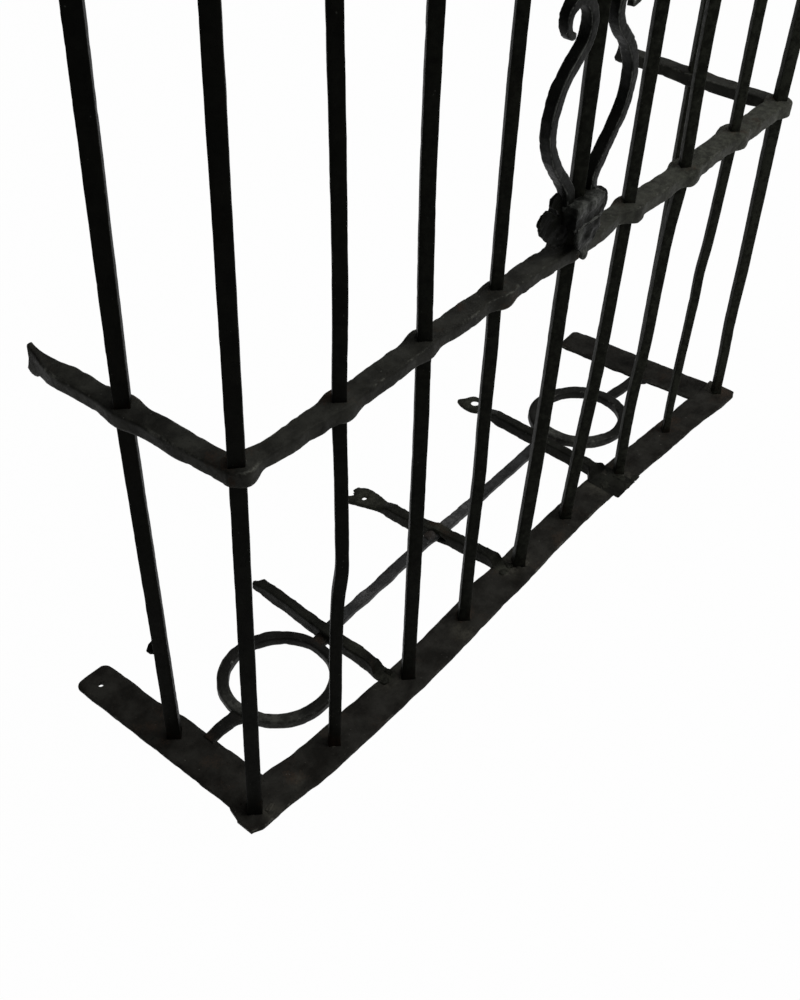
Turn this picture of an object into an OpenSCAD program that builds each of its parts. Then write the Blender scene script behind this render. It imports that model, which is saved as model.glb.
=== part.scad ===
// Forged iron balcony railing: a three-sided cage of upright bars for a window sill,
// with two rings for flower pots in its base frame.
// X runs along the front, +Y points to the wall, +Z is up.
// The origin lies on the underside of the base strap, below the middle bar.

/* [Front] */
// Distance between neighbouring front bars
bar_pitch = 125; // [118:1:135]
// Height over the top strap
rail_height = 980; // [900:5:1100]
// Height of the middle of the mid rail
mid_height = 485.5; // [460:1:520]

/* [Sides] */
// Distance from the front bars to the wall end of the left arm
left_reach = 281; // [265:1:320]
// Distance from the front bars to the wall end of the right arm
right_reach = 251; // [240:1:300]
// Distance from the front bars to the left side bar
left_side_bar_y = 140; // [125:1:155]
// Distance from the front bars to the right side bar
right_side_bar_y = 128; // [120:1:145]
// Angle by which the right base arm leans inward
right_arm_lean = 5; // [0:0.5:6]

/* [Base and top straps] */
// Width of the straps
strap_w = 48; // [42:1:52]
// Thickness of the straps
strap_t = 5; // [4:0.5:8]
// Width of the left base arm
left_arm_w = 49; // [44:1:54]
// How far the left base arm is wider between the corner and its bar
left_shoulder = 5; // [0:1:8]
// Width of the right base arm
right_arm_w = 53; // [44:1:56]
// How far the right base arm bellies inward
right_belly = 4; // [0:1:7]
// Sideways bow of the base front strap
strap_bow = 8; // [0:1:10]
// Length over which the bow repeats
strap_wave = 880; // [800:10:1000]
// Diameter of the fixing holes
fixing_d = 7; // [5:0.5:9]
// Distance from the wall end of an arm to its fixing hole
fixing_inset = 22; // [18:1:30]

/* [Upright bars] */
// Side of the left corner bar
bar_1_side = 15; // [12:0.5:16]
// Side of the second bar
bar_2_side = 13; // [12:0.5:15]
// Side of the third bar
bar_3_side = 14; // [12:0.5:15]
// Side of the fourth bar
bar_4_side = 12.5; // [12:0.5:15]
// Side of the middle bar
bar_5_side = 14.5; // [12:0.5:15]
// Side of the sixth bar
bar_6_side = 13; // [12:0.5:15]
// Side of the seventh bar
bar_7_side = 12.5; // [12:0.5:15]
// Side of the eighth bar
bar_8_side = 11.5; // [10:0.5:15]
// Side of the right corner bar
bar_9_side = 14.5; // [12:0.5:15]
// Side of the two bars beside the wall
side_bar_side = 15; // [12:0.5:15]
// Diameter of the tenons that pass through the straps
tenon_d = 8; // [6:0.5:10]
// Diameter of the hammered heads on the top strap
head_d = 17; // [14:0.5:20]
// Height of the hammered heads
head_h = 3.5; // [2:0.5:5]
// Gap all round a bar or tenon in its hole
forge_gap = 0.2; // [0.1:0.05:0.4]

/* [Mid rail] */
// Depth of the mid rail from front to back
mid_depth = 24; // [20:0.5:26]
// Thickness of the mid rail from top to bottom
mid_t = 16; // [10:0.5:18]
// How far the rail swells to each side of a bar
eye_rise = 5; // [4:0.5:9]
// How far along the rail a swelling reaches from the bar
eye_reach = 27; // [22:1:32]
// How far the right half of the rail sags
rail_sag = 6; // [0:1:10]
// How far the left return sinks on its way to the wall
return_drop = 9; // [0:1:12]
// Height of the splayed wall ends
tail_h = 37; // [26:1:44]
// Thickness of the splayed wall ends
tail_t = 6; // [4:0.5:10]

/* [Crossbars] */
// Width of the crossbars
crossbar_w = 13; // [11:0.5:16]
// Height of the crossbars
crossbar_h = 18; // [15:0.5:22]
// Width of the leaf-shaped wall ends
leaf_w = 33; // [26:1:38]
// Thickness of the leaf-shaped wall ends
leaf_t = 6; // [4:0.5:8]
// Distance from the front bars to the broken wall end of the left crossbar
left_crossbar_reach = 239; // [225:1:250]
// Distance from the front bars to the leaf tip of the middle crossbar
middle_crossbar_reach = 263; // [245:1:275]
// Distance from the front bars to the leaf tip of the right crossbar
right_crossbar_reach = 278; // [260:1:285]
// Length of the leaf-shaped wall ends
leaf_l = 50; // [40:1:56]
// Distance from a leaf's tip to its nail hole
leaf_inset = 23; // [20:1:27]
// Diameter of the nail holes
leaf_hole_d = 9; // [7:0.5:10]
// Length over which a crossbar thins down to its leaf
leaf_taper = 22; // [16:1:34]
// Width of the left and middle crossbars' tongues on the strap
tongue_w = 19; // [15:1:24]
// Width of the right crossbar's tongue on the strap
wide_tongue_w = 44; // [36:1:50]
// Thickness of the tongues at their tips
tongue_t = 3; // [2:0.5:4]
// Position of the left crossbar along the front
left_crossbar_x = -271; // [-285:1:-262]
// Position of the middle crossbar along the front
middle_crossbar_x = -24; // [-40:1:-20]
// Position of the right crossbar along the front
right_crossbar_x = 219.5; // [212:0.5:228]
// Width of the tie bar that passes through the middle crossbar
tie_w = 15.5; // [13:0.5:17]
// Thickness of the tie bar
tie_t = 10.5; // [9:0.5:11]

/* [Pot rings] */
// Inner diameter of the left pot ring
left_ring_bore = 118; // [105:1:120]
// Width of the bar that forms the left ring
left_ring_w = 14.5; // [11:0.5:17]
// Inner diameter of the right pot ring
right_ring_bore = 108; // [96:1:112]
// Width of the bar that forms the right ring
right_ring_w = 16; // [12:0.5:19]
// Height of the bars that form the rings
ring_h = 11; // [11:0.5:13]
// Width of the stubs that hold the rings
stub_w = 14; // [11:0.5:17]
// Thickness of the stubs
stub_t = 8.5; // [7:0.5:8.5]
// Width of the welds between the rings and their crossbars
weld_w = 20; // [16:0.5:24]

/* [Ornament] */
// Width of the collar that binds the scrolls to the middle bar
collar_w = 52; // [48:1:58]
// Depth of the collar
collar_d = 36; // [34:1:44]
// Height of the collar
collar_h = 26; // [20:1:32]
// Height of the collar's underside over the mid rail
collar_lift = 34; // [30:1:45]
// Side of the scroll bars
scroll_side = 12; // [10:0.5:13]
// Radius of the big arc of a scroll
scroll_r = 74; // [66:1:78]

/* [Hidden] */
bars = 9;
front_half = bar_pitch * (bars - 1) / 2;
bar_sides = [bar_1_side, bar_2_side, bar_3_side, bar_4_side, bar_5_side,
             bar_6_side, bar_7_side, bar_8_side, bar_9_side];

// Hand-set wander of the bars along the front and in depth: at the foot, at the mid rail and at the top
foot_dx = [-9, -9, 0, -4.5, -4, -9.5, -4, -1, 12];
foot_dy = [0, 0, 0, 2.5, 0, 2.5, 0, 4.5, 1.5];
mid_dx = [5.5, 5.5, 7.5, 2, 1.5, 2, 1, 1, 0];
mid_dy = [3, -2.5, 0.5, 2.5, -4, 0, -2, 0, 0];
top_dx = [5, 0, 0, 0, 0, 0, 0, 0, 0];
top_dy = [-4.5, 0, 0, 0, 0, 0, 0, 0, 0];

// How much thicker a bar is at its foot and at its top than at the mid rail
foot_draw = [0.5, 0, 1, 1, 0.5, 1, 0, -2, -2.5];
top_draw = [-1, 0, -1, -1, 0, 0, 0, 0, 0];

// Knocks and bows of the bars as [height share between foot and rail or rail and top, sideways mm]
lower_bows = [
    [],
    [[0.2, 0.5], [0.3, 0], [0.5, 1.5], [0.59, 5], [0.68, 4.5], [0.85, 2.5]],
    [[0.3, 0.5], [0.8, 1]],
    [[0.3, 0.5], [0.5, 2], [0.7, 1], [0.9, 1]],
    [[0.27, 1.5], [0.65, 2], [0.9, 0.5]],
    [[0.32, 1.5], [0.5, 3], [0.7, 2.5], [0.9, 1]],
    [[0.28, -3.5], [0.5, -1], [0.62, -2], [0.85, -3]],
    [[0.13, -1.5], [0.5, -1.5], [0.6, -2.5], [0.7, -0.5], [0.85, 0]],
    [[0.17, -0.5], [0.28, -1.5], [0.38, -1], [0.48, 0]],
];
upper_bows = [
    [],
    [[0.2, 2], [0.45, 2]],
    [[0.1, -1], [0.29, -2.5], [0.4, -3], [0.7, -2]],
    [[0.26, -1], [0.5, -1.5]],
    [[0.6, 1]],
    [[0.5, 0.5]],
    [[0.3, -3], [0.7, -1]],
    [[0.4, -2]],
    [[0.5, 1]],
];

// Feet, rail crossings and tops of the two side bars, and the right one's bow
left_side_foot = [-front_half + 2.5, left_side_bar_y - 1];
left_side_top = [-front_half + 4.5, left_side_bar_y - 3];
right_side_foot = [front_half - 7, right_side_bar_y - 9];
right_side_top = [front_half, right_side_bar_y];
left_side_draw = [0, 1];
right_side_draw = [0, 0];
right_side_bows = [[0.3, 0.5], [0.5, 1]];

top_z = rail_height - strap_t;
mid_z = mid_height - mid_t / 2;
mid_top = mid_height + mid_t / 2;
left_ring = [-357, 106];
right_ring = [312.5, 114];
stub_z = 2;
tie_z = 4;
tie_start_y = 111;
tie_end_y = 125;

// The left arm's fixing hole lies off its middle line
fixing_shift = -4;

// The middle crossbar is split open for the tie bar: how far its upper strand arches, and over what reach
split_reach = 22;
split_rise = 4.5;
split_y = (tie_start_y + tie_end_y) / 2;

// Height of the leaves over the floor, and the length over which the broken wall end thins
leaf_rise = 3;
broken_l = 30;

// The left return runs slightly outward to the wall
left_spread = -10;
left_mid_reach = left_reach - 8;
left_mid_point = [mid_point(0)[0] + left_spread * left_side_bar_y / left_mid_reach - 2,
                  left_side_bar_y + 1];
right_mid_point = [mid_point(bars - 1)[0], right_side_bar_y - 1];

// Middle lines of the base arms: the left is offset outward, the right inward
left_arm_line = -front_half - 1;
right_arm_line = front_half - 2.5;

// Ornament on the middle bar: its middle, its plane in depth, and the collar's height
ornament_x = mid_point(4)[0] - 1.5;
ornament_y = mid_dy[4] - 1;
collar_z = mid_top + collar_lift;
collar_front = ornament_y - 20;
side_leaf_t = 8;

iron = [0.13, 0.13, 0.12];
strap_iron = [0.19, 0.18, 0.17];
ring_iron = [0.16, 0.16, 0.17];

// Centre line of the bowed base strap
function strap_line(x) = strap_bow * sin(360 * (x + 90) / strap_wave) - 2.5;

function bar_x(i) = bar_pitch * (i - (bars - 1) / 2);
function foot(i) = [bar_x(i) + foot_dx[i], strap_line(bar_x(i) + foot_dx[i]) + 1.5 + foot_dy[i]];
function mid_point(i) = [bar_x(i) + mid_dx[i], mid_dy[i]];
function top_point(i) = [bar_x(i) + top_dx[i], top_dy[i]];

// Centre line of the mid rail, which follows its bars, and its height, which sags to the right
function mid_line(x) = lookup(x, [for (i = [0 : bars - 1]) mid_point(i)]);
function sag_share(x) = x < 30 ? 0 : x > 190 ? 1 : (1 - cos(180 * (x - 30) / 160)) / 2;
function rail_z(x) = mid_height - rail_sag * sag_share(x);

// Ends of the front strap, the places along it where its edge is set out, and its back edge
strap_left = -front_half - strap_w / 2 - 9;
strap_right = front_half + strap_w / 2 + 7;
strap_xs = [for (k = [0 : 30]) strap_left + (strap_right - strap_left) * k / 30];
strap_back = concat([for (k = [30 : -1 : 1]) [strap_xs[k], strap_line(strap_xs[k]) + strap_w / 2]],
                    [[strap_left + 7, strap_line(strap_left) + strap_w / 2],
                     [strap_left, strap_line(strap_left) + 4]]);

// Smooth swelling of a rail around a point: t is the distance from it
function swell(t, reach, rise) = abs(t) < reach ? rise * (1 + cos(180 * t / reach)) / 2 : 0;

// Points of one stretch of a bar between two ends, with its knocks
function stretch_path(a, b, bows) =
    [for (k = bows) a + (b - a) * k[0] + [k[1] * 0.62, -k[1] * 0.78, 0]];

function flat(p, z) = [p[0], p[1], z];

// Ring centres of a bar from its foot, straight through the mid rail, to the top strap
function bar_path(f, m, t, low, high) =
    let (under = rail_z(m[0]) - mid_t / 2 - 3, over = rail_z(m[0]) + mid_t / 2 + 3)
    concat([flat(f, strap_t)],
           stretch_path(flat(f, strap_t), flat(m, under), low),
           [flat(m, under), flat(m, over)],
           stretch_path(flat(m, over), flat(t, top_z), high),
           [flat(t, top_z)]);

// Side of a bar at a height: draw holds what it has more at the foot and at the top
function side_at(z, side, draw) =
    lookup(z, [[strap_t, side + draw[0]], [mid_z, side], [mid_top, side], [top_z, side + draw[1]]]);

// Square bar along a path, with its corners to the front, back and sides
module diamond_sweep(path, side, draw) {
    n = len(path);
    corners = [for (p = path) let (r = side_at(p[2], side, draw) / sqrt(2))
        each [p + [0, -r, 0], p + [r, 0, 0], p + [0, r, 0], p + [-r, 0, 0]]];
    sides = [for (k = [0 : n - 2]) for (c = [0 : 3])
        [4 * k + c, 4 * k + 4 + c, 4 * k + 4 + (c + 1) % 4, 4 * k + (c + 1) % 4]];
    caps = [[0, 1, 2, 3], [4 * n - 1, 4 * n - 2, 4 * n - 3, 4 * n - 4]];
    polyhedron(points = corners, faces = concat(sides, caps));
}

// Upright bar with a tenon through each strap and a hammered head on top
module upright(f, m, t, side, draw, low, high) {
    color(iron)
    union() {
        diamond_sweep(bar_path(f, m, t, low, high), side, draw);
        translate([f[0], f[1], 0]) cylinder(d = tenon_d, h = strap_t + 2, $fn = 32);
        translate([t[0], t[1], top_z - 2]) cylinder(d = tenon_d, h = strap_t + 4, $fn = 32);
        translate([t[0], t[1], rail_height]) hammered_head();
    }
}

module hammered_head() {
    cap_r = (head_d * head_d / 4 + head_h * head_h) / (2 * head_h);
    intersection() {
        translate([0, 0, head_h - cap_r]) sphere(r = cap_r, $fn = 64);
        cylinder(d = head_d + 2, h = head_h + 1, $fn = 64);
    }
}

module tenon_hole(p, z) {
    translate([p[0], p[1], z - 1]) cylinder(d = tenon_d + 2 * forge_gap, h = strap_t + 2, $fn = 32);
}

module bar_hole(p, side) {
    translate([p[0], p[1], mid_z - 12]) rotate([0, 0, 45])
        translate([-side / 2 - forge_gap, -side / 2 - forge_gap, 0])
            cube([side + 2 * forge_gap, side + 2 * forge_gap, mid_t + 24]);
}

// Outline of the bowed front strap, with its outer corners cut off
module base_front_outline() {
    front = [for (x = strap_xs)
        [x, strap_line(x) - strap_w / 2 + swell(x - strap_left, 14, 5) + swell(x - strap_right, 14, 5)]];
    polygon(concat(front, strap_back));
}

// All that lies below the top of the front strap, from its back edge forward
module strap_seat() {
    front_y = -2 * strap_w;
    translate([0, 0, -1]) linear_extrude(strap_t + 1)
        polygon(concat(strap_back, [[strap_left, front_y], [strap_right, front_y]]));
}

// The front strap drawn taller, to cut what butts against its edge
module strap_cutter() {
    translate([0, 0, -strap_t]) linear_extrude(3 * strap_t) base_front_outline();
}

module base_front_strap() {
    color(strap_iron)
    difference() {
        linear_extrude(strap_t) base_front_outline();
        for (i = [0 : bars - 1]) tenon_hole(foot(i), 0);
    }
}

// Flat arm from the front to the wall, with a rounded end
module arm_plate(reach, w) {
    r = 9;
    translate([-w / 2, 0, 0]) cube([w, reach - r, strap_t]);
    translate([-w / 2 + r, 0, 0]) cube([w - 2 * r, reach, strap_t]);
    for (s = [-1, 1]) translate([s * (w / 2 - r), reach - r, 0]) cylinder(r = r, h = strap_t, $fn = 48);
}

module fixing_hole(x, reach, z) {
    translate([x, reach - fixing_inset, z - 1]) cylinder(d = fixing_d, h = strap_t + 2, $fn = 32);
}

module on_left_arm() {
    translate([left_arm_line, 0, 0]) children();
}

module on_right_arm() {
    translate([right_arm_line, 0, 0]) rotate([0, 0, right_arm_lean]) children();
}

// Widened inner edges of the base arms, h thick
module left_shoulder_plate(h) {
    x = left_arm_w / 2;
    linear_extrude(h) polygon([[0, 0], [x + left_shoulder, 0], [x + left_shoulder, left_side_bar_y + 10],
        [x, left_side_bar_y + 50], [0, left_side_bar_y + 50]]);
}

module right_belly_plate(h) {
    x = -right_arm_w / 2;
    linear_extrude(h) polygon([[0, 0], [x, 40], [x - right_belly, right_side_bar_y],
        [x - right_belly, right_side_bar_y + 20], [x, right_reach - 30], [0, right_reach - 30]]);
}

// All that lies below the top of an arm, for what laps onto it
module left_arm_seat() {
    translate([0, 0, -1]) on_left_arm() {
        translate([-left_arm_w / 2, 0, 0]) cube([left_arm_w, left_reach, strap_t + 1]);
        left_shoulder_plate(strap_t + 1);
    }
}

module right_arm_seat() {
    translate([0, 0, -1]) on_right_arm() {
        translate([-right_arm_w / 2, 0, 0]) cube([right_arm_w, right_reach, strap_t + 1]);
        right_belly_plate(strap_t + 1);
    }
}

module base_left_arm() {
    color(strap_iron)
    difference() {
        on_left_arm() {
            arm_plate(left_reach, left_arm_w);
            left_shoulder_plate(strap_t);
        }
        strap_cutter();
        on_left_arm() fixing_hole(fixing_shift, left_reach, 0);
        tenon_hole(left_side_foot, 0);
    }
}

module base_right_arm() {
    color(strap_iron)
    difference() {
        on_right_arm() {
            arm_plate(right_reach, right_arm_w);
            right_belly_plate(strap_t);
        }
        strap_cutter();
        tenon_hole(right_side_foot, 0);
    }
}

module top_front_plate() {
    r = 9;
    half = front_half + strap_w / 2;
    translate([-half, -strap_w / 2 + r, top_z]) cube([2 * half, strap_w - r, strap_t]);
    translate([-half + r, -strap_w / 2, top_z]) cube([2 * half - 2 * r, strap_w, strap_t]);
    for (s = [-1, 1]) translate([s * (half - r), -strap_w / 2 + r, top_z])
        cylinder(r = r, h = strap_t, $fn = 48);
}

module top_front_strap() {
    color(strap_iron)
    difference() {
        top_front_plate();
        for (i = [0 : bars - 1]) tenon_hole(top_point(i), top_z);
    }
}

module top_arm(side, reach, bar_top) {
    color(strap_iron)
    difference() {
        translate([side * front_half, 0, top_z]) arm_plate(reach, strap_w);
        top_front_plate();
        translate([side * front_half, 0, 0]) fixing_hole(0, reach, top_z);
        tenon_hole(bar_top, top_z);
    }
}

module top_left_arm() {
    top_arm(-1, left_reach, left_side_top);
}

module top_right_arm() {
    top_arm(1, right_reach, right_side_top);
}

// Body of the front mid rail: swollen at each bar and rounded at the corners
module mid_front_body() {
    steps = [-1, -0.7, -0.4, 0, 0.4, 0.7, 1];
    xs = [for (i = [0 : bars - 1]) each [for (s = steps)
        if (!(i == 0 && s < 0) && !(i == bars - 1 && s > 0)) mid_point(i)[0] + s * eye_reach]];
    n = len(xs);
    function nearest_swell(x) = max([for (i = [0 : bars - 1])
        swell(x - mid_point(i)[0], eye_reach, eye_rise)]);
    half = [for (x = xs) mid_depth / 2 + nearest_swell(x)];
    front = [for (k = [0 : n - 1]) [xs[k], mid_line(xs[k]) - half[k]]];
    back = [for (k = [n - 1 : -1 : 0]) [xs[k], mid_line(xs[k]) + half[k]]];
    intersection() {
        linear_extrude(2 * mid_height) polygon(concat(front, back));
        mid_front_side();
    }
    for (i = [0, bars - 1]) translate([mid_point(i)[0], mid_point(i)[1], rail_z(mid_point(i)[0]) - mid_t / 2])
        cylinder(r = mid_depth / 2 + eye_rise, h = mid_t, $fn = 64);
}

// The same rail seen from the front, with its sag
module mid_front_side() {
    xs = concat([-2 * front_half], [for (x = [30 : 20 : 190]) x], [2 * front_half]);
    n = len(xs);
    over = [for (k = [n - 1 : -1 : 0]) [xs[k], rail_z(xs[k]) + mid_t / 2]];
    under = [for (k = [0 : n - 1]) [xs[k], rail_z(xs[k]) - mid_t / 2]];
    rotate([90, 0, 0]) linear_extrude(6 * mid_depth, center = true) polygon(concat(under, over));
}

module mid_rail_front() {
    color(strap_iron)
    difference() {
        mid_front_body();
        for (i = [0 : bars - 1]) bar_hole(mid_point(i), bar_sides[i]);
    }
}

// Return of the mid rail, seen from above: thinned to a flat tail at the wall
module return_plan(reach, bar_y, spread) {
    ys = [0, bar_y - eye_reach, bar_y - 0.6 * eye_reach, bar_y, bar_y + 0.6 * eye_reach, bar_y + eye_reach,
          reach - 60, reach - 25, reach];
    h = mid_depth / 2;
    halves = [h - 1, h - 1, h + 0.3 * eye_rise, h + eye_rise - 1, h + 0.3 * eye_rise, h - 1,
              h - 2, tail_t / 2 + 1, tail_t / 2];
    n = len(ys);
    outer = [for (k = [0 : n - 1]) [spread * ys[k] / reach - halves[k], ys[k]]];
    inner = [for (k = [n - 1 : -1 : 0]) [spread * ys[k] / reach + halves[k], ys[k]]];
    linear_extrude(4 * tail_h, center = true) polygon(concat(outer, inner));
}

// The same return seen from the side: it sinks to the wall and splays into a fishtail
module return_side(reach, drop) {
    b = mid_t / 2;
    tail = [[reach - 46, b], [reach - 25, b + 3], [reach - 13, b + 8], [reach - 8, tail_h / 2 + 1],
            [reach - 5, tail_h / 2 + 4], [reach - 6, b], [reach, -b + 1], [reach - 2, -b - 6],
            [reach - 12, -b - 6], [reach - 20, -b - 2], [reach - 30, -b - 4], [reach - 46, -b]];
    line = concat([[0, b]], tail, [[0, -b]]);
    sunk = [for (p = line) [p[0], p[1] - drop * p[0] / reach]];
    rotate([90, 0, 90]) linear_extrude(4 * mid_depth, center = true) polygon(sunk);
}

module mid_return(reach, bar_y, spread, drop) {
    intersection() {
        return_plan(reach, bar_y, spread);
        return_side(reach, drop);
    }
}

module mid_rail_left_return() {
    corner = mid_point(0);
    color(strap_iron)
    difference() {
        translate([corner[0], 0, mid_height])
            mid_return(left_mid_reach, left_side_bar_y, left_spread, return_drop);
        mid_front_body();
        bar_hole(left_mid_point, side_bar_side);
    }
}

module mid_rail_right_return() {
    corner = mid_point(bars - 1);
    color(strap_iron)
    difference() {
        translate([corner[0], 0, rail_z(corner[0])])
            mid_return(right_reach + 1, right_side_bar_y, 0, 0);
        mid_front_body();
        bar_hole(right_mid_point, side_bar_side);
    }
}

module front_bar(i) {
    upright(foot(i), mid_point(i), top_point(i), bar_sides[i], [foot_draw[i], top_draw[i]],
            lower_bows[i], upper_bows[i]);
}

module side_bar_left() {
    upright(left_side_foot, left_mid_point, left_side_top, side_bar_side, left_side_draw, [], []);
}

module side_bar_right() {
    upright(right_side_foot, right_mid_point, right_side_top, side_bar_side, right_side_draw,
            right_side_bows, []);
}

// Stump of a broken strap on the wall side of the left side bar
module wall_lug() {
    color(iron)
    difference() {
        translate([-front_half - 7, left_side_bar_y, 136]) cube([11, 17, 11]);
        diamond_sweep(bar_path(left_side_foot, left_mid_point, left_side_top, [], []),
                      side_bar_side, left_side_draw);
        translate([-front_half - 30, left_side_bar_y - 30, 100]) cube([60, 30, 80]);
    }
}

// Crossbar seen from the side: on edge and lapped over the strap in front.
// wall_end holds its last points at the wall, from the underside up, and eye_y the place of a split, or 0
module crossbar_side(lap, wall_end, eye_y) {
    arch = [for (s = eye_y > 0 ? [1, 0.5, 0, -0.5, -1] : [])
        [eye_y + s * split_reach, crossbar_h + swell(s, 1, split_rise)]];
    nose = [[strap_w - 6, crossbar_h], [strap_w / 2 - 1, crossbar_h - 3],
            [lap + 10, strap_t + 2 * tongue_t], [lap, strap_t + tongue_t]];
    along_side() polygon(concat([[lap, 0]], wall_end, arch, nose));
}

module along_side() {
    rotate([90, 0, 90]) linear_extrude(6 * crossbar_w, center = true) children();
}

// Crossbar seen from above, with a wide tongue on the strap: tip holds its last points at the wall,
// from the right side to the left
module crossbar_plan(lap, lap_w, tip) {
    start_y = strap_w * 0.45;
    h = crossbar_w / 2;
    tongue = [[-h, start_y + 14], [-lap_w / 2, start_y], [-lap_w / 2, lap],
              [lap_w / 2, lap], [lap_w / 2, start_y], [h, start_y + 14]];
    linear_extrude(3 * crossbar_h, center = true) polygon(concat(tongue, tip));
}

// Wall end hammered out flat to a leaf with a nail hole: outline holds shares of its width
// and distances from its tip
module leaf_end(reach, outline, hole_x) {
    translate([0, 0, leaf_rise])
    difference() {
        linear_extrude(leaf_t) polygon([for (p = outline) [p[0] * leaf_w, reach - p[1]]]);
        translate([hole_x, reach - leaf_inset, -1]) cylinder(d = leaf_hole_d, h = leaf_t + 2, $fn = 32);
    }
}

module leaf_crossbar(lap, reach, lap_w, eye_y, outline, hole_x) {
    leaf_y = reach - leaf_l;
    h = crossbar_w / 2;
    intersection() {
        crossbar_side(lap, [[leaf_y - leaf_taper, 0], [leaf_y, leaf_rise], [leaf_y, leaf_rise + leaf_t],
                            [leaf_y - leaf_taper, crossbar_h]], eye_y);
        crossbar_plan(lap, lap_w, [[h, leaf_y], [-h, leaf_y]]);
    }
    leaf_end(reach, outline, hole_x);
}

// The left crossbar's wall end is broken off aslant
module left_crossbar_body() {
    reach = left_crossbar_reach;
    h = crossbar_w / 2;
    thin_y = reach - broken_l;
    translate([left_crossbar_x, 0, 0]) rotate([0, 0, -1.8])
    intersection() {
        crossbar_side(2, [[thin_y, 0], [reach, leaf_rise], [reach, crossbar_h - 5], [thin_y, crossbar_h]], 0);
        crossbar_plan(2, tongue_w, [[h, thin_y], [h + 1, reach - 10], [1, reach - 6], [-3, reach],
                                    [-h - 1, reach - 3], [-h, thin_y]]);
    }
}

module middle_crossbar_body() {
    outline = [[0.2, 58], [0.33, 45], [0.44, 33], [0.5, 23], [0.52, 16], [0.47, 10], [0.33, 5], [0.18, 4.5],
               [-0.09, 8], [-0.27, 4], [-0.29, 0], [-0.5, 2], [-0.52, 11], [-0.45, 22], [-0.35, 33],
               [-0.27, 46], [-0.2, 59]];
    translate([middle_crossbar_x, 0, 0]) rotate([0, 0, 5.2])
    difference() {
        leaf_crossbar(4, middle_crossbar_reach, tongue_w, split_y, outline, 0);
        along_side() translate([split_y, tie_z])
            polygon([[-19, 5], [-11, 1], [4, 1], [4, tie_t - 1], [-7, tie_t - 1]]);
    }
}

module right_crossbar_body() {
    outline = [[0.2, 56], [0.27, 46], [0.42, 34], [0.54, 22], [0.5, 13], [0.27, 8], [0.03, 6], [-0.18, 1],
               [-0.26, 0], [-0.36, 9], [-0.41, 18], [-0.38, 30], [-0.24, 39], [-0.2, 52]];
    translate([right_crossbar_x, 0, 0]) rotate([0, 0, -1.5])
        leaf_crossbar(-strap_w / 2 - 3, right_crossbar_reach, wide_tongue_w, 0, outline, 3.5);
}

module crossbar_left() {
    color(iron)
    difference() {
        left_crossbar_body();
        strap_seat();
    }
}

module crossbar_middle() {
    color(iron)
    difference() {
        middle_crossbar_body();
        strap_seat();
        tie_body(forge_gap);
    }
}

module crossbar_right() {
    color(iron)
    difference() {
        right_crossbar_body();
        strap_seat();
    }
}

// Thin bar from crossbar to crossbar in line with the rings
module tie_body(gap) {
    span = right_crossbar_x - left_crossbar_x;
    angle = atan((tie_end_y - tie_start_y) / span);
    translate([left_crossbar_x, tie_start_y, tie_z - gap]) rotate([0, 0, angle])
        translate([0, -tie_w / 2 - gap, 0]) cube([span / cos(angle), tie_w + 2 * gap, tie_t + 2 * gap]);
}

module tie_bar() {
    color(ring_iron)
    difference() {
        tie_body(0);
        left_crossbar_body();
        right_crossbar_body();
    }
}

// Ring bent from a bar, with a short stub to its crossbar
module pot_ring_body(centre, bore, w, crossbar_point) {
    difference() {
        union() {
            translate([centre[0], centre[1], 0]) rotate([0, 0, 90])
                cylinder(r = bore / 2 + w, h = ring_h, $fn = 96);
            stub(centre, crossbar_point, weld_w);
        }
        translate([centre[0], centre[1], -1]) rotate([0, 0, 90])
            cylinder(d = bore, h = ring_h + 2, $fn = 96);
    }
}

// Stub from an arm to its ring: at_arm holds its points there, at_ring those about the ring's centre,
// and it is cut to the ring's curve
module arm_stub(centre, r, arm_point, at_arm, at_ring) {
    outline = concat([for (p = at_arm) arm_point + p], [for (p = at_ring) centre + p]);
    difference() {
        translate([0, 0, stub_z]) linear_extrude(stub_t) polygon(outline);
        translate([centre[0], centre[1], -1]) cylinder(r = r, h = ring_h + 2, $fn = 96);
    }
}

module stub(a, b, w) {
    d = b - a;
    translate([a[0], a[1], stub_z]) rotate([0, 0, atan2(d[1], d[0])])
        translate([0, -w / 2, 0]) cube([norm(d), w, stub_t]);
}

module pot_ring_left() {
    color(ring_iron)
    difference() {
        pot_ring_body(left_ring, left_ring_bore, left_ring_w, [left_crossbar_x, left_ring[1] + 2]);
        left_crossbar_body();
    }
}

module pot_ring_right() {
    color(ring_iron)
    difference() {
        pot_ring_body(right_ring, right_ring_bore, right_ring_w, [right_crossbar_x, right_ring[1] + 6]);
        right_crossbar_body();
    }
}

module ring_stub_left() {
    h = stub_w / 2;
    r = left_ring_bore / 2 + left_ring_w;
    color(ring_iron)
    difference() {
        arm_stub(left_ring, r, [left_arm_line + left_arm_w / 2 + left_shoulder - 14, 102],
                 [[26, h], [2, h], [2, -h], [16, -h - 2], [26, -h]],
                 [[-r - 11, -h - 3], [-r - 1, -h - 6], [-r + 11, -h - 6], [-r + 11, h + 2], [-r - 1, h + 1],
                  [-r - 11, h - 3]]);
        left_arm_seat();
    }
}

module ring_stub_right() {
    h = stub_w / 2;
    r = right_ring_bore / 2 + right_ring_w;
    color(ring_iron)
    difference() {
        arm_stub(right_ring, r, [right_arm_line - right_arm_w / 2 - 10, 105.5],
                 [[-22, -h], [-8, -h - 4], [1, -21], [9, -21], [9, 15], [-1, 15], [-9, h + 3], [-22, h + 1]],
                 [[r - 11, h], [r - 11, -h]]);
        right_arm_seat();
    }
}

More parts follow.
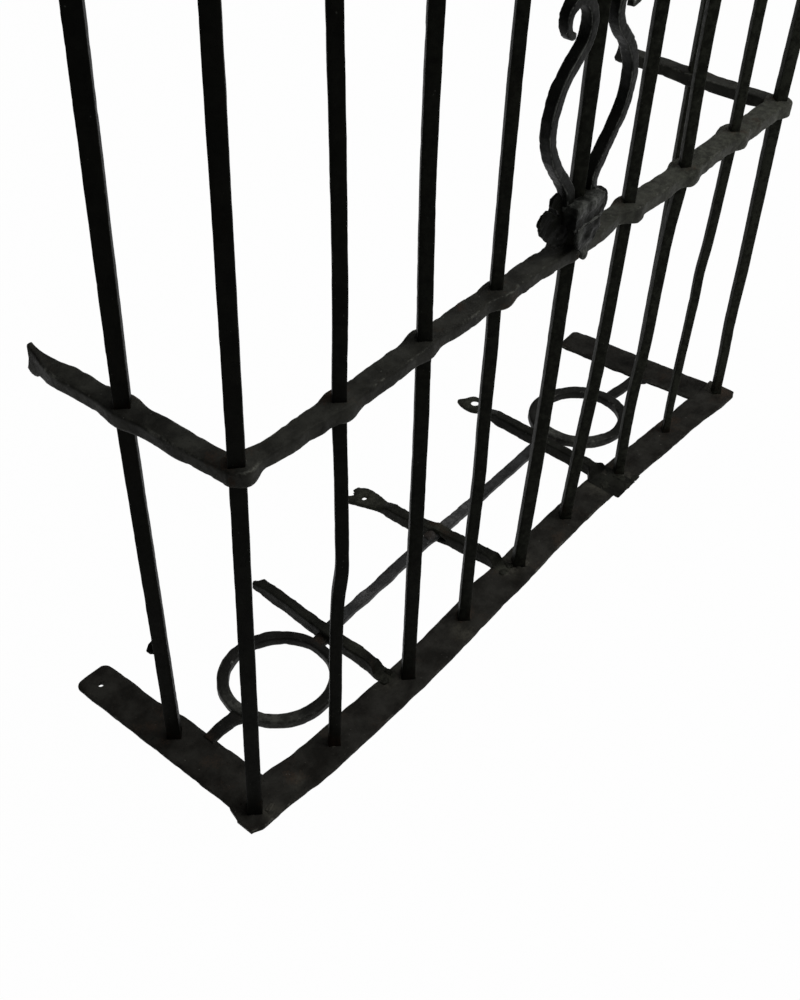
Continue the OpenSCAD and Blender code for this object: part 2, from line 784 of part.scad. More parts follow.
// Collar bound round the middle bar and the feet of the scrolls
module ornament_collar() {
    color(iron)
    difference() {
        translate([ornament_x - collar_w / 2, collar_front, collar_z]) cube([collar_w, collar_d, collar_h]);
        diamond_sweep(bar_path(foot(4), mid_point(4), top_point(4), lower_bows[4], upper_bows[4]),
                      bar_5_side, [foot_draw[4], top_draw[4]]);
        left_scroll_body();
        right_scroll_body();
    }
}

// Points along a bent bar: each bend is [length, degrees to the left], walked in short steps
function walk(bends, p, heading, k = 0, step = 0) =
    k == len(bends) ? [[p[0], p[1], heading]] :
    let (n = max(1, ceil(abs(bends[k][1]) / 12)), h = heading + bends[k][1] / n / 2)
    let (q = p + bends[k][0] / n * [-sin(h), cos(h)], last = step == n - 1)
    concat([[p[0], p[1], heading]],
           walk(bends, q, heading + bends[k][1] / n, last ? k + 1 : k, last ? 0 : step + 1));

// Square bar bent in the plane of the front, thinned towards its far end
module bent_bar(path, side, end_side) {
    n = len(path);
    function half(k) = (k < n * 0.6 ? side : side + (end_side - side) * (k / n - 0.6) / 0.4) / 2;
    corners = [for (k = [0 : n - 1]) let (c = [path[k][0], 0, path[k][1]], a = path[k][2], h = half(k))
        let (across = [cos(a), 0, sin(a)] * h, deep = [0, h, 0])
        each [c - across - deep, c + across - deep, c + across + deep, c - across + deep]];
    sides = [for (k = [0 : n - 2]) for (c = [0 : 3])
        [4 * k + c, 4 * k + 4 + c, 4 * k + 4 + (c + 1) % 4, 4 * k + (c + 1) % 4]];
    caps = [[0, 1, 2, 3], [4 * n - 1, 4 * n - 2, 4 * n - 3, 4 * n - 4]];
    polyhedron(points = corners, faces = concat(sides, caps));
}

// Scroll: straight through the collar, out, back in along a big arc and out again in a volute
module left_scroll_body() {
    bends = [[collar_h, 6], [16, 29], [44, 0], [scroll_r * 1.45, -84], [24, -6], [60, 110], [46, 150],
             [16, 60]];
    translate([ornament_x, ornament_y, 0])
        bent_bar(walk(bends, [-17, collar_z], 4), scroll_side, scroll_side * 0.6);
}

module right_scroll_body() {
    bends = [[collar_h, 6], [24, 22], [40, 6], [scroll_r * 1.4, -82], [24, -6], [60, 110], [46, 150],
             [16, 60]];
    translate([ornament_x, ornament_y, 0]) mirror([1, 0, 0])
        bent_bar(walk(bends, [-19, collar_z], 6), scroll_side, scroll_side * 0.6);
}

module scroll_left() {
    color(iron) left_scroll_body();
}

module scroll_right() {
    color(iron) right_scroll_body();
}

// Lobed side leaves, flat in the plane of the front, against the collar and under it
module leaf_left() {
    half = collar_w / 2;
    top = collar_h - 2;
    points = [[-12, 0], [-half, 0], [-half, top + 8], [-half - 6, top + 18], [-half - 13, top + 19],
              [-half - 21, top + 15], [-half - 24, top + 8], [-half - 18, top + 2], [-half - 8, top - 5],
              [-half - 4, top - 13], [-half - 17, top - 3], [-half - 30, top + 5], [-half - 38, top + 4],
              [-half - 42, top - 5], [-half - 40, top - 15], [-half - 31, top - 27], [-half - 20, -14],
              [-half - 8, -23], [-half + 6, -28], [-12, -28]];
    color(iron)
    difference() {
        side_leaf(points);
        left_scroll_body();
    }
}

module leaf_right() {
    half = collar_w / 2;
    points = [[12, 0], [half, 0], [half, collar_h - 3], [half + 12, collar_h - 5], [half + 28, collar_h - 13],
              [half + 39, 2], [half + 42, -6], [half + 37, -14], [half + 24, -13], [half + 26, -22],
              [half + 14, -29], [half - 6, -29], [12, -28]];
    color(iron)
    difference() {
        side_leaf(points);
        right_scroll_body();
    }
}

module side_leaf(points) {
    translate([ornament_x, ornament_y + side_leaf_t / 2, collar_z]) rotate([90, 0, 0])
        linear_extrude(side_leaf_t) polygon(points);
}

// Pointed leaf that hangs from the collar over the front of the mid rail
module leaf_front() {
    tip = mid_t - 6 + collar_lift;
    points = [[-21, 0], [-22, -14], [-16, -26], [-7, -35], [-4, -tip + 2], [0, -tip], [5, -tip + 2], [8, -35],
              [17, -25], [22, -12], [21, 0]];
    color(iron)
    translate([ornament_x, mid_dy[4] - mid_depth / 2 - eye_rise - forge_gap, collar_z]) rotate([90, 0, 0])
        linear_extrude(5) polygon(points);
}

base_front_strap();
base_left_arm();
base_right_arm();
top_front_strap();
top_left_arm();
top_right_arm();
mid_rail_front();
mid_rail_left_return();
mid_rail_right_return();
front_bar(0);  // front_bar_1
front_bar(1);  // front_bar_2
front_bar(2);  // front_bar_3
front_bar(3);  // front_bar_4
front_bar(4);  // front_bar_5
front_bar(5);  // front_bar_6
front_bar(6);  // front_bar_7
front_bar(7);  // front_bar_8
front_bar(8);  // front_bar_9
side_bar_left();
side_bar_right();
wall_lug();
crossbar_left();
crossbar_middle();
crossbar_right();
tie_bar();
pot_ring_left();
pot_ring_right();
ring_stub_left();
ring_stub_right();
ornament_collar();
leaf_left();
leaf_right();
leaf_front();
scroll_left();
scroll_right();
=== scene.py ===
import math

import bmesh
import bpy
from mathutils import Matrix, Vector, noise


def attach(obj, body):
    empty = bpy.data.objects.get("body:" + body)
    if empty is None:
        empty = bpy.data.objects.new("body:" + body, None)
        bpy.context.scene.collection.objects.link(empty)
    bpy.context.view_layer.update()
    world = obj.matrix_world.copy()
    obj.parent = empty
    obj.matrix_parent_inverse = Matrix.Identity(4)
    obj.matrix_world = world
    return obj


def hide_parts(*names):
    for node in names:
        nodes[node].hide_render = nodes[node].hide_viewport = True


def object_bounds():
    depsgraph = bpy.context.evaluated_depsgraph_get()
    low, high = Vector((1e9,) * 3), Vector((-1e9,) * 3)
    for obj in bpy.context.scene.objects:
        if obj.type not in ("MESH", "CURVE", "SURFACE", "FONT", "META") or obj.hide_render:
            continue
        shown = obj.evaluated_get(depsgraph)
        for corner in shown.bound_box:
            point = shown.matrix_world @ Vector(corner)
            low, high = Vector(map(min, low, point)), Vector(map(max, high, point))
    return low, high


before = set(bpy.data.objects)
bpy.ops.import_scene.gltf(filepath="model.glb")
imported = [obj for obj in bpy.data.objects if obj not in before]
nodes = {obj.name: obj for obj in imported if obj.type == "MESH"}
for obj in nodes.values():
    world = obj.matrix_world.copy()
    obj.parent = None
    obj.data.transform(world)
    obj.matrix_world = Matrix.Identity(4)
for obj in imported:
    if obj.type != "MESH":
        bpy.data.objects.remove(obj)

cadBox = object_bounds()
mm = 0.001
print("frame loaded,", len(nodes), "nodes")


# Camera at the photograph's angle

camera = {
    "place": (-1.0542, -0.6139, 1.2051),
    "azimuth": 51.937,  # from +Y towards +X
    "down": 42.234,
    "roll": 2.463,
    "focalPixels": 1272.16,
    "framePixels": 1000,  # the photograph's longer side
}


def makeCamera(c):
    azimuth, down, roll = (math.radians(c[k]) for k in ("azimuth", "down", "roll"))
    forward = Vector((math.sin(azimuth) * math.cos(down), math.cos(azimuth) * math.cos(down), -math.sin(down)))
    level = Vector((math.cos(azimuth), -math.sin(azimuth), 0))
    up = level.cross(forward)
    right = level * math.cos(roll) + up * math.sin(roll)
    up = up * math.cos(roll) - level * math.sin(roll)
    data = bpy.data.cameras.new("photoCamera")
    data.sensor_fit = "VERTICAL"
    data.sensor_height = 36
    data.lens = c["focalPixels"] / c["framePixels"] * data.sensor_height
    data.clip_end = 60
    obj = bpy.data.objects.new("photoCamera", data)
    turn = Matrix((right, up, -forward)).transposed().to_4x4()
    obj.matrix_world = Matrix.Translation(c["place"]) @ turn
    bpy.context.collection.objects.link(obj)
    bpy.context.scene.camera = obj


makeCamera(camera)
print("camera set")


# Node helpers

def shaderNode(tree, kind, sockets=None, **settings):
    # sockets are given a number, a colour or another node's output
    made = tree.nodes.new(kind)
    for key, value in settings.items():
        setattr(made, key, value)
    for key, value in (sockets or {}).items():
        if hasattr(value, "links"):
            tree.links.new(value, made.inputs[key])
        else:
            made.inputs[key].default_value = value
    return made


def noiseAt(tree, place, scale, detail, roughness=0.55):
    sockets = {"Vector": place, "Scale": scale, "Detail": detail, "Roughness": roughness}
    return shaderNode(tree, "ShaderNodeTexNoise", sockets).outputs["Fac"]


def maths(tree, operation, a, b, clamp=False):
    return shaderNode(tree, "ShaderNodeMath", {0: a, 1: b}, operation=operation, use_clamp=clamp).outputs[0]


def times(tree, a, b, clamp=False):
    return maths(tree, "MULTIPLY", a, b, clamp)


def plus(tree, a, b, clamp=False):
    return maths(tree, "ADD", a, b, clamp)


def minus(tree, a, b, clamp=False):
    return maths(tree, "SUBTRACT", a, b, clamp)


def ramp(tree, value, low, high, outLow=0.0, outHigh=1.0):
    sockets = {"Value": value, "From Min": low, "From Max": high, "To Min": outLow, "To Max": outHigh}
    return shaderNode(tree, "ShaderNodeMapRange", sockets).outputs["Result"]


def patternAt(tree, place, scale, detail, roughness, low, high):
    # mask that grows between two levels of a noise
    return ramp(tree, noiseAt(tree, place, scale, detail, roughness), low, high)


def blend(tree, factor, a, b):
    return shaderNode(tree, "ShaderNodeMix", {"Factor": factor, 6: a, 7: b}, data_type="RGBA").outputs[2]


def newPaint(name):
    paint = bpy.data.materials.new(name)
    paint.use_nodes = True
    tree = paint.node_tree
    tree.nodes.clear()
    return paint, tree, shaderNode(tree, "ShaderNodeOutputMaterial")


def mixShaders(tree, share, a, b, out):
    mix = shaderNode(tree, "ShaderNodeMixShader", {"Fac": share, 1: a.outputs[0], 2: b.outputs[0]})
    tree.links.new(mix.outputs[0], out.inputs["Surface"])


# Floor, world and lamps

studio = {
    "floorColour": (0.6, 0.6, 0.6, 1),
    "floorSize": 14,
    "floorGap": 0.3 * mm,
    "floorGlow": 0.985,  # share of plain white in what the camera sees of the floor
    "worldLight": 0.12,
    "lamps": [
        # name, place, aim, width, height, watts
        ("key", (1.4, -2.0, 2.9), (0, 0.1, 0.3), 1.5, 1.2, 44),
        ("top", (0.2, -0.3, 3.3), (0, 0.1, 0.3), 1.8, 1.4, 24),
        ("rim", (2.4, 1.4, 2.2), (0.2, 0.1, 0.4), 1.4, 1.0, 7),
    ],
}


def makeFloor(s):
    half = s["floorSize"] / 2
    mesh = bpy.data.meshes.new("studioFloor")
    mesh.from_pydata([(-half, -half, 0), (half, -half, 0), (half, half, 0), (-half, half, 0)], [], [(0, 1, 2, 3)])
    floor = bpy.data.objects.new("studioFloor", mesh)
    floor.location.z = -s["floorGap"]
    bpy.context.collection.objects.link(floor)
    paint, tree, out = newPaint("studioFloor")
    matt = shaderNode(tree, "ShaderNodeBsdfDiffuse", {"Color": s["floorColour"]})
    glow = shaderNode(tree, "ShaderNodeEmission", {"Color": (1, 1, 1, 1), "Strength": 1})
    path = shaderNode(tree, "ShaderNodeLightPath")
    seen = maths(tree, "MAXIMUM", path.outputs["Is Camera Ray"], path.outputs["Is Glossy Ray"])
    mixShaders(tree, times(tree, seen, s["floorGlow"]), matt, glow, out)
    mesh.materials.append(paint)


def makeWorld(s):
    world = bpy.data.worlds.new("studioWorld")
    bpy.context.scene.world = world
    world.use_nodes = True
    tree = world.node_tree
    tree.nodes.clear()
    out = shaderNode(tree, "ShaderNodeOutputWorld")
    light = shaderNode(tree, "ShaderNodeBackground", {"Color": (0.97, 0.98, 1, 1), "Strength": s["worldLight"]})
    white = shaderNode(tree, "ShaderNodeBackground", {"Color": (1, 1, 1, 1), "Strength": 1})
    path = shaderNode(tree, "ShaderNodeLightPath")
    mixShaders(tree, path.outputs["Is Camera Ray"], light, white, out)


def makeLamp(name, place, aim, width, height, watts):
    data = bpy.data.lights.new(name, "AREA")
    data.shape = "RECTANGLE"
    data.size = width
    data.size_y = height
    data.energy = watts
    lamp = bpy.data.objects.new(name, data)
    lamp.location = place
    lamp.rotation_euler = (Vector(aim) - Vector(place)).to_track_quat("-Z", "Y").to_euler()
    bpy.context.collection.objects.link(lamp)


makeFloor(studio)
makeWorld(studio)
for lampValues in studio["lamps"]:
    makeLamp(*lampValues)
bpy.context.scene.view_settings.view_transform = "Standard"
print("studio set")


# Shader groups that every iron uses

def newGroup(name, inputs, outputs):
    # every group is given a place, then plain numbers
    group = bpy.data.node_groups.new(name, "ShaderNodeTree")
    group.interface.new_socket("Place", in_out="INPUT", socket_type="NodeSocketVector")
    for label, value in inputs.items():
        socket = group.interface.new_socket(label, in_out="INPUT", socket_type="NodeSocketFloat")
        socket.default_value = value
    for label in outputs:
        group.interface.new_socket(label, in_out="OUTPUT", socket_type="NodeSocketFloat")
    return group, group.nodes.new("NodeGroupInput").outputs, group.nodes.new("NodeGroupOutput").inputs


def makeRustGroup():
    # patches of brown rust, heavier where the piece asks for it
    group, given, results = newGroup("rustBloom", {"Amount": 0.4, "Size": 25, "Near Joint": 0}, ("Patches", "Speckle"))
    place = given["Place"]
    broad = noiseAt(group, place, given["Size"], 4, 0.6)
    fine = noiseAt(group, place, 420, 3, 0.7)
    mixed = plus(group, times(group, broad, 0.7), times(group, fine, 0.3))
    pushed = plus(group, mixed, times(group, given["Near Joint"], 0.16))
    edge = minus(group, 0.72, times(group, given["Amount"], 0.35))
    patches = ramp(group, minus(group, pushed, edge), -0.03, 0.09)
    speckle = patternAt(group, place, 900, 2, 0.5, 0.62, 0.74)
    group.links.new(patches, results["Patches"])
    group.links.new(speckle, results["Speckle"])
    return group


def makeScaleGroup():
    # height of forge scale: hammer flats, shallow pits and fine grain
    group, given, results = newGroup("forgeScale", {"Hammer": 0.5, "Pits": 0.5, "Grain": 0.3}, ("Height", "Pit Mask"))
    place = given["Place"]
    cells = shaderNode(group, "ShaderNodeTexVoronoi", {"Vector": place, "Scale": 95, "Smoothness": 0.8},
                       feature="SMOOTH_F1")
    hammer = times(group, cells.outputs["Distance"], given["Hammer"])
    pitMask = patternAt(group, place, 330, 3, 0.6, 0.62, 0.72)
    pits = times(group, pitMask, given["Pits"])
    grain = times(group, noiseAt(group, place, 1500, 4, 0.65), given["Grain"])
    height = plus(group, minus(group, hammer, pits), grain)
    group.links.new(height, results["Height"])
    group.links.new(pitMask, results["Pit Mask"])
    return group


def makeWearAndSheenGroup():
    # rubbed arrises, real wear and a painted highlight along them: the painted-on edge measure, broken up by noise
    group, given, results = newGroup("rubbedEdgesAndSheen", {"Edge": 0, "Amount": 0.5}, ("Rubbed And Sheen",))
    place = given["Place"]
    breakUp = noiseAt(group, place, 140, 4, 0.65)
    long = noiseAt(group, place, 22, 2, 0.5)
    level = plus(group, times(group, breakUp, 0.6), times(group, long, 0.5))
    limit = minus(group, 0.9, times(group, given["Amount"], 0.5))
    open = ramp(group, minus(group, level, limit), -0.04, 0.08)
    sharp = ramp(group, given["Edge"], 0.35, 0.9)
    group.links.new(times(group, open, sharp), results["Rubbed And Sheen"])
    return group


rustGroup = makeRustGroup()
scaleGroup = makeScaleGroup()
wearAndSheenGroup = makeWearAndSheenGroup()


# One iron for each family of pieces

# rubbed: colour of real wear on the arrises and of the highlight painted along them; pale: pale scale and weld, and
# painted light where a piece asks for it
irons = {
    "strap": {
        "dark": (0.0128, 0.012, 0.01), "light": (0.0335, 0.0325, 0.028), "rust": (0.05, 0.035, 0.025),
        "rubbedAndSheen": (0.13, 0.128, 0.112), "pale": (0.06, 0.057, 0.046), "rustAmount": 0.33, "rustSize": 21.0,
        "wearAndSheen": 0.55, "rough": 0.6, "metal": 0.05, "gloss": 0.06, "hammer": 0.9, "pits": 0.8, "grain": 0.35,
        "bump": 0.9,
    },
    "rail": {
        "dark": (0.014, 0.014, 0.0118), "light": (0.04, 0.0402, 0.034), "rust": (0.046, 0.029, 0.02),
        "rubbedAndSheen": (0.13, 0.13, 0.112), "pale": (0.085, 0.088, 0.07), "rustAmount": 0.3, "rustSize": 26.0,
        "wearAndSheen": 0.55, "rough": 0.56, "metal": 0.05, "gloss": 0.05, "hammer": 1.0, "pits": 0.7, "grain": 0.3,
        "bump": 0.9,
    },
    "bar": {
        "dark": (0.0034, 0.0035, 0.0028), "light": (0.008, 0.0082, 0.0065), "rust": (0.016, 0.0095, 0.006),
        "rubbedAndSheen": (0.07, 0.071, 0.062), "pale": (0.03, 0.032, 0.024), "rustAmount": 0.2, "rustSize": 24.0,
        "wearAndSheen": 0.42, "rough": 0.5, "metal": 0.02, "gloss": 0.02, "hammer": 0.5, "pits": 0.5, "grain": 0.25,
        "bump": 0.5,
    },
    "ring": {
        "dark": (0.011, 0.011, 0.0098), "light": (0.02, 0.02, 0.0178), "rust": (0.034, 0.023, 0.016),
        "rubbedAndSheen": (0.15, 0.15, 0.136), "pale": (0.075, 0.076, 0.066), "rustAmount": 0.25, "rustSize": 28.0,
        "wearAndSheen": 0.6, "rough": 0.48, "metal": 0.08, "gloss": 0.06, "hammer": 0.4, "pits": 0.6, "grain": 0.25,
        "bump": 0.8,
    },
    "tie": {
        "dark": (0.018, 0.0185, 0.018), "light": (0.052, 0.053, 0.053), "rust": (0.045, 0.033, 0.026),
        "rubbedAndSheen": (0.13, 0.129, 0.125), "pale": (0.105, 0.104, 0.102), "rustAmount": 0.25, "rustSize": 30.0,
        "wearAndSheen": 0.45, "rough": 0.46, "metal": 0.15, "gloss": 0.1, "hammer": 0.8, "pits": 0.8, "grain": 0.3,
        "bump": 0.9,
    },
    "crossbar": {
        "dark": (0.0095, 0.0097, 0.008), "light": (0.0225, 0.023, 0.0185), "rust": (0.034, 0.022, 0.015),
        "rubbedAndSheen": (0.11, 0.112, 0.094), "pale": (0.046, 0.047, 0.036), "rustAmount": 0.22, "rustSize": 26.0,
        "wearAndSheen": 0.5, "rough": 0.52, "metal": 0.05, "gloss": 0.04, "hammer": 0.9, "pits": 0.6, "grain": 0.3,
        "bump": 0.9,
    },
    "ornament": {
        "dark": (0.0042, 0.0046, 0.0038), "light": (0.01, 0.0108, 0.0091), "rust": (0.024, 0.018, 0.013),
        "rubbedAndSheen": (0.24, 0.245, 0.225), "pale": (0.09, 0.093, 0.084), "rustAmount": 0.2, "rustSize": 30.0,
        "wearAndSheen": 0.8, "rough": 0.44, "metal": 0.08, "gloss": 0.05, "hammer": 1.0, "pits": 0.7, "grain": 0.3,
        "bump": 1.0,
    },
    # leaf: a darker copy of the ornament iron for the side leaves, painted shade
    "leaf": {
        "dark": (0.0028, 0.003, 0.0023), "light": (0.008, 0.0084, 0.0066), "rust": (0.018, 0.012, 0.008),
        "rubbedAndSheen": (0.11, 0.113, 0.098), "pale": (0.06, 0.062, 0.052), "rustAmount": 0.15, "rustSize": 30.0,
        "wearAndSheen": 0.75, "rough": 0.5, "metal": 0.04, "gloss": 0.03, "hammer": 0.8, "pits": 0.6, "grain": 0.3,
        "bump": 0.8,
    },
}


bumpDepth = 0.5 * mm


def fromGroup(tree, group, sockets):
    return shaderNode(tree, "ShaderNodeGroup", sockets, node_tree=group).outputs


def makeIron(name, v):
    paint, tree, out = newPaint(name + "Iron")
    shader = shaderNode(tree, "ShaderNodeBsdfPrincipled", {"Specular IOR Level": v["gloss"]})
    place = shaderNode(tree, "ShaderNodeTexCoord").outputs["Object"]
    dark, light, rustColour, rubbedAndSheen, paleColour = ((*v[k], 1) for k in ("dark", "light", "rust", "rubbedAndSheen", "pale"))
    edge, joint, pale = (shaderNode(tree, "ShaderNodeAttribute", attribute_name=painted).outputs["Fac"]
                         for painted in ("worn", "joint", "pale"))

    rust = fromGroup(tree, rustGroup, {"Place": place, "Amount": v["rustAmount"], "Size": v["rustSize"],
                                       "Near Joint": joint})
    scale = fromGroup(tree, scaleGroup, {"Place": place, "Hammer": v["hammer"], "Pits": v["pits"], "Grain": v["grain"]})
    wearAndSheen = fromGroup(tree, wearAndSheenGroup, {"Place": place, "Edge": edge, "Amount": v["wearAndSheen"]})

    flecks = patternAt(tree, place, 120, 5, 0.7, 0.42, 0.62)
    # pale scale and weld colour, and painted light: bars and rail are painted paler by place, and pale spots on the
    # ornament paint highlights
    paleScaleAndPaintedLight = times(tree, pale, ramp(tree, flecks, 0, 1, 0.25, 1))
    chips = patternAt(tree, place, 240, 2, 0.5, 0.735, 0.76)
    colour = blend(tree, patternAt(tree, place, 38, 5, 0.62, 0.36, 0.66), dark, light)
    # the rubbed colour paints highlights along the arrises as well as real wear
    for mask, cover, over in (  # each layer from below: where, how strongly, in what colour
            (paleScaleAndPaintedLight, 1.6, paleColour), (rust["Patches"], 0.8, rustColour), (rust["Speckle"], 0.35, rustColour),
            (scale["Pit Mask"], 0.6, dark), (chips, 0.7, rubbedAndSheen), (wearAndSheen["Rubbed And Sheen"], 0.85, rubbedAndSheen)):
        colour = blend(tree, times(tree, mask, cover, clamp=True), colour, over)
    tree.links.new(colour, shader.inputs["Base Color"])

    dull = plus(tree, v["rough"], times(tree, rust["Patches"], 0.25))
    varied = plus(tree, dull, ramp(tree, noiseAt(tree, place, 210, 3), 0.3, 0.7, -0.08, 0.08))
    rough = minus(tree, varied, times(tree, wearAndSheen["Rubbed And Sheen"], 0.14), clamp=True)
    tree.links.new(rough, shader.inputs["Roughness"])
    metal = times(tree, minus(tree, 1.0, rust["Patches"]), v["metal"])
    shine = plus(tree, metal, times(tree, wearAndSheen["Rubbed And Sheen"], 0.4), clamp=True)
    tree.links.new(shine, shader.inputs["Metallic"])

    lumps = plus(tree, scale["Height"], times(tree, rust["Patches"], 0.25))
    bump = shaderNode(tree, "ShaderNodeBump", {"Strength": v["bump"], "Distance": bumpDepth, "Height": lumps})
    tree.links.new(bump.outputs["Normal"], shader.inputs["Normal"])
    tree.links.new(shader.outputs[0], out.inputs["Surface"])
    return paint


ironPaint = {name: makeIron(name, values) for name, values in irons.items()}
print("irons mixed")


# Forging tools: sections, sweeps and hammering

hands = {
    # hammer and nick: depth of the flats and of the knocks on the arrises, with their widths, grain: fine unevenness
    "bar": {"hammer": 0.16 * mm, "hammerSize": 30 * mm, "nick": 0.5 * mm, "nickSize": 11 * mm, "grain": 0.05 * mm},
    "rail": {"hammer": 0.8 * mm, "hammerSize": 24 * mm, "nick": 1.2 * mm, "nickSize": 12 * mm, "grain": 0.12 * mm},
    "strap": {"hammer": 0.55 * mm, "hammerSize": 26 * mm, "nick": 1.4 * mm, "nickSize": 13 * mm, "grain": 0.12 * mm},
    "ring": {"hammer": 0.5 * mm, "hammerSize": 20 * mm, "nick": 0.9 * mm, "nickSize": 9 * mm, "grain": 0.1 * mm},
    "ornament": {"hammer": 1.3 * mm, "hammerSize": 12 * mm, "nick": 1.8 * mm, "nickSize": 9 * mm, "grain": 0.25 * mm},
}
grainSize = 4 * mm
flatGain, fineGain = 1.6, 2  # noise stays well below 1, so what it moves is raised by these
knockShift = Vector((7.3, 1.9, 4.1))  # keeps knocks apart from hammer flats
knockFrom = 0.12  # knocks show where their noise is above this
lowest = 0.05 * mm  # no hammered point sinks to the floor
boxGap = 0.02 * mm  # what stays free inside the frame's box
capRise = 0.3 * mm  # how far a bar's cut end is domed
lumpSwell = 0.5  # how far out of true a weld bead is
lumpEdgeWearAndSheen = 0.5
upward = Vector((0, 0, 1))
toFront = Vector((0, -1, 0))


def wayAt(turn):
    return Vector((math.cos(turn), math.sin(turn), 0))


def leftOf(way):
    return Vector((-way.y, way.x, 0))


def placeAt(place, z):
    # a place written as x and y in millimetres, at a height
    return Vector((place[0] * mm, place[1] * mm, z))


def placesFrom(start, stop, step):
    # evenly spread, about a step apart
    count = int((stop - start) / step)
    return [start + (stop - start) * k / count for k in range(count + 1)]


def stretchAt(places, at):
    # number of the stretch between sorted places; the first and the last run on
    k = 0
    while k < len(places) - 2 and places[k + 1] < at:
        k += 1
    return k


def smoothStep(t):
    t = min(max(t, 0), 1)
    return t * t * (3 - 2 * t)


def hammered(point, normal, edge, hand):
    lump = noise.noise(point / hand["hammerSize"]) * hand["hammer"] * flatGain
    grain = noise.noise(point / grainSize) * hand["grain"] * fineGain
    knock = max(0, noise.noise(point / hand["nickSize"] + knockShift) - knockFrom) * hand["nick"] * fineGain * edge
    moved = point + normal * (lump + grain - knock)
    moved.z = max(moved.z, lowest)
    return moved


def tableAt(table, at):
    # straight lines between the rows of a table in millimetres; the first column says where
    at = min(max(at / mm, table[0][0]), table[-1][0])
    for low, high in zip(table, table[1:]):
        if at <= high[0]:
            t = (at - low[0]) / (high[0] - low[0])
            return [(a + (b - a) * t) * mm for a, b in zip(low[1:], high[1:])]


def nearness(point, spots):
    # 1 at a spot and 0 from its reach outward
    return max([0] + [1 - (point - spot).length / reach for spot, reach in spots])


def spotsOf(rows):
    # places with their reach, written in millimetres
    return [(Vector(place) * mm, reach * mm) for place, reach in rows]


def roundedSection(halfU, halfV, radius, alongU, alongV, perCorner=3):
    # points round a rounded rectangle as (u, v, normal u, normal v, edge)
    points = []
    corners = [(1, 1, 0), (-1, 1, 90), (-1, -1, 180), (1, -1, 270)]
    for k, (su, sv, start) in enumerate(corners):
        cu, cv = su * (halfU - radius), sv * (halfV - radius)
        for c in range(perCorner):
            turn = math.radians(start + 90 * c / (perCorner - 1))
            nu, nv = math.cos(turn), math.sin(turn)
            middle = 1 - abs(c / (perCorner - 1) - 0.5)
            points.append((cu + radius * nu, cv + radius * nv, nu, nv, middle))
        count = alongU if k % 2 == 0 else alongV
        nextSu, nextSv = corners[(k + 1) % 4][:2]
        nu, nv = math.cos(math.radians(start + 90)), math.sin(math.radians(start + 90))
        a = Vector((cu + radius * nu, cv + radius * nv))
        b = Vector((nextSu * (halfU - radius) + radius * nu, nextSv * (halfV - radius) + radius * nv))
        for c in range(1, count + 1):
            p = a.lerp(b, c / (count + 1))
            points.append((p.x, p.y, nu, nv, 0))
    return points


class Forging:
    # a mesh in the making, with what its arrises, joints, pale scale and painted light are painted with on its vertices
    def __init__(self):
        self.mesh = bmesh.new()
        self.addLayers()

    def addLayers(self):
        layers = self.mesh.verts.layers.float
        self.worn, self.joint, self.pale = (layers.get(n) or layers.new(n) for n in ("worn", "joint", "pale"))

    def vertex(self, place, edge=0, joint=0, pale=0):
        v = self.mesh.verts.new(place)
        v[self.worn] = edge
        v[self.joint] = joint
        v[self.pale] = pale
        return v

    def ringFaces(self, a, b):
        count = len(a)
        for k in range(count):
            self.mesh.faces.new((a[k], a[(k + 1) % count], b[(k + 1) % count], b[k]))

    def cap(self, ring, outward):
        centre = sum((v.co for v in ring), Vector()) / len(ring)
        inner = [self.vertex(centre.lerp(v.co, 0.55) + outward * capRise * 2 / 3) for v in ring]
        self.ringFaces(ring, inner)
        tip = self.vertex(centre + outward * capRise)
        for k in range(len(inner)):
            self.mesh.faces.new((inner[k], inner[(k + 1) % len(inner)], tip))

    def sweep(self, stations, hand, along=(3, 3), closed=False, joints=(), pales=()):
        # station: place, u direction, v direction, half width, half height, arris radius
        rings = []
        for place, u, v, halfU, halfV, radius in stations:
            ring = []
            for pu, pv, nu, nv, edge in roundedSection(halfU, halfV, radius, *along):
                point = place + u * pu + v * pv
                moved = hammered(point, u * nu + v * nv, edge, hand)
                ring.append(self.vertex(moved, edge, nearness(point, joints), nearness(point, pales)))
            rings.append(ring)
        for a, b in zip(rings, rings[1:]):
            self.ringFaces(a, b)
        if closed:
            self.ringFaces(rings[-1], rings[0])
        else:
            self.cap(rings[-1], (stations[-1][0] - stations[-2][0]).normalized())
            self.cap(list(reversed(rings[0])), (stations[0][0] - stations[1][0]).normalized())

    def lumps(self, rows, hand, joint=0, pale=1):
        # rows of places and sizes in millimetres
        for place, size in rows:
            self.lump(Vector(place) * mm, Vector(size) * mm, hand, joint, pale)

    def lump(self, place, size, hand, joint, pale):
        # weld bead or burr: a round lump pressed out of true
        made = bmesh.ops.create_icosphere(self.mesh, subdivisions=3, radius=1)["verts"]
        for v in made:
            out = v.co.normalized()
            swollen = 1 + lumpSwell * noise.noise(out * 1.5 + place * 90)
            point = place + Vector((out.x * size[0], out.y * size[1], out.z * size[2])) * swollen
            v.co = hammered(point, out, 0.4, hand)
            v[self.worn] = lumpEdgeWearAndSheen
            v[self.joint] = joint
            v[self.pale] = pale

    def finish(self, replaced, paint):
        # the made piece stands in for a node of the frame
        bmesh.ops.recalc_face_normals(self.mesh, faces=self.mesh.faces)
        for vert in self.mesh.verts:
            vert.co = [min(max(c, low + boxGap), high - boxGap) for c, low, high in zip(vert.co, *cadBox)]
        for face in self.mesh.faces:
            face.smooth = True
        name = replaced + "_forged"
        data = bpy.data.meshes.new(name)
        self.mesh.to_mesh(data)
        self.mesh.free()
        data.materials.append(ironPaint[paint])
        obj = bpy.data.objects.new(name, data)
        bpy.context.collection.objects.link(obj)
        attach(obj, "root")
        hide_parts(replaced)
        return obj


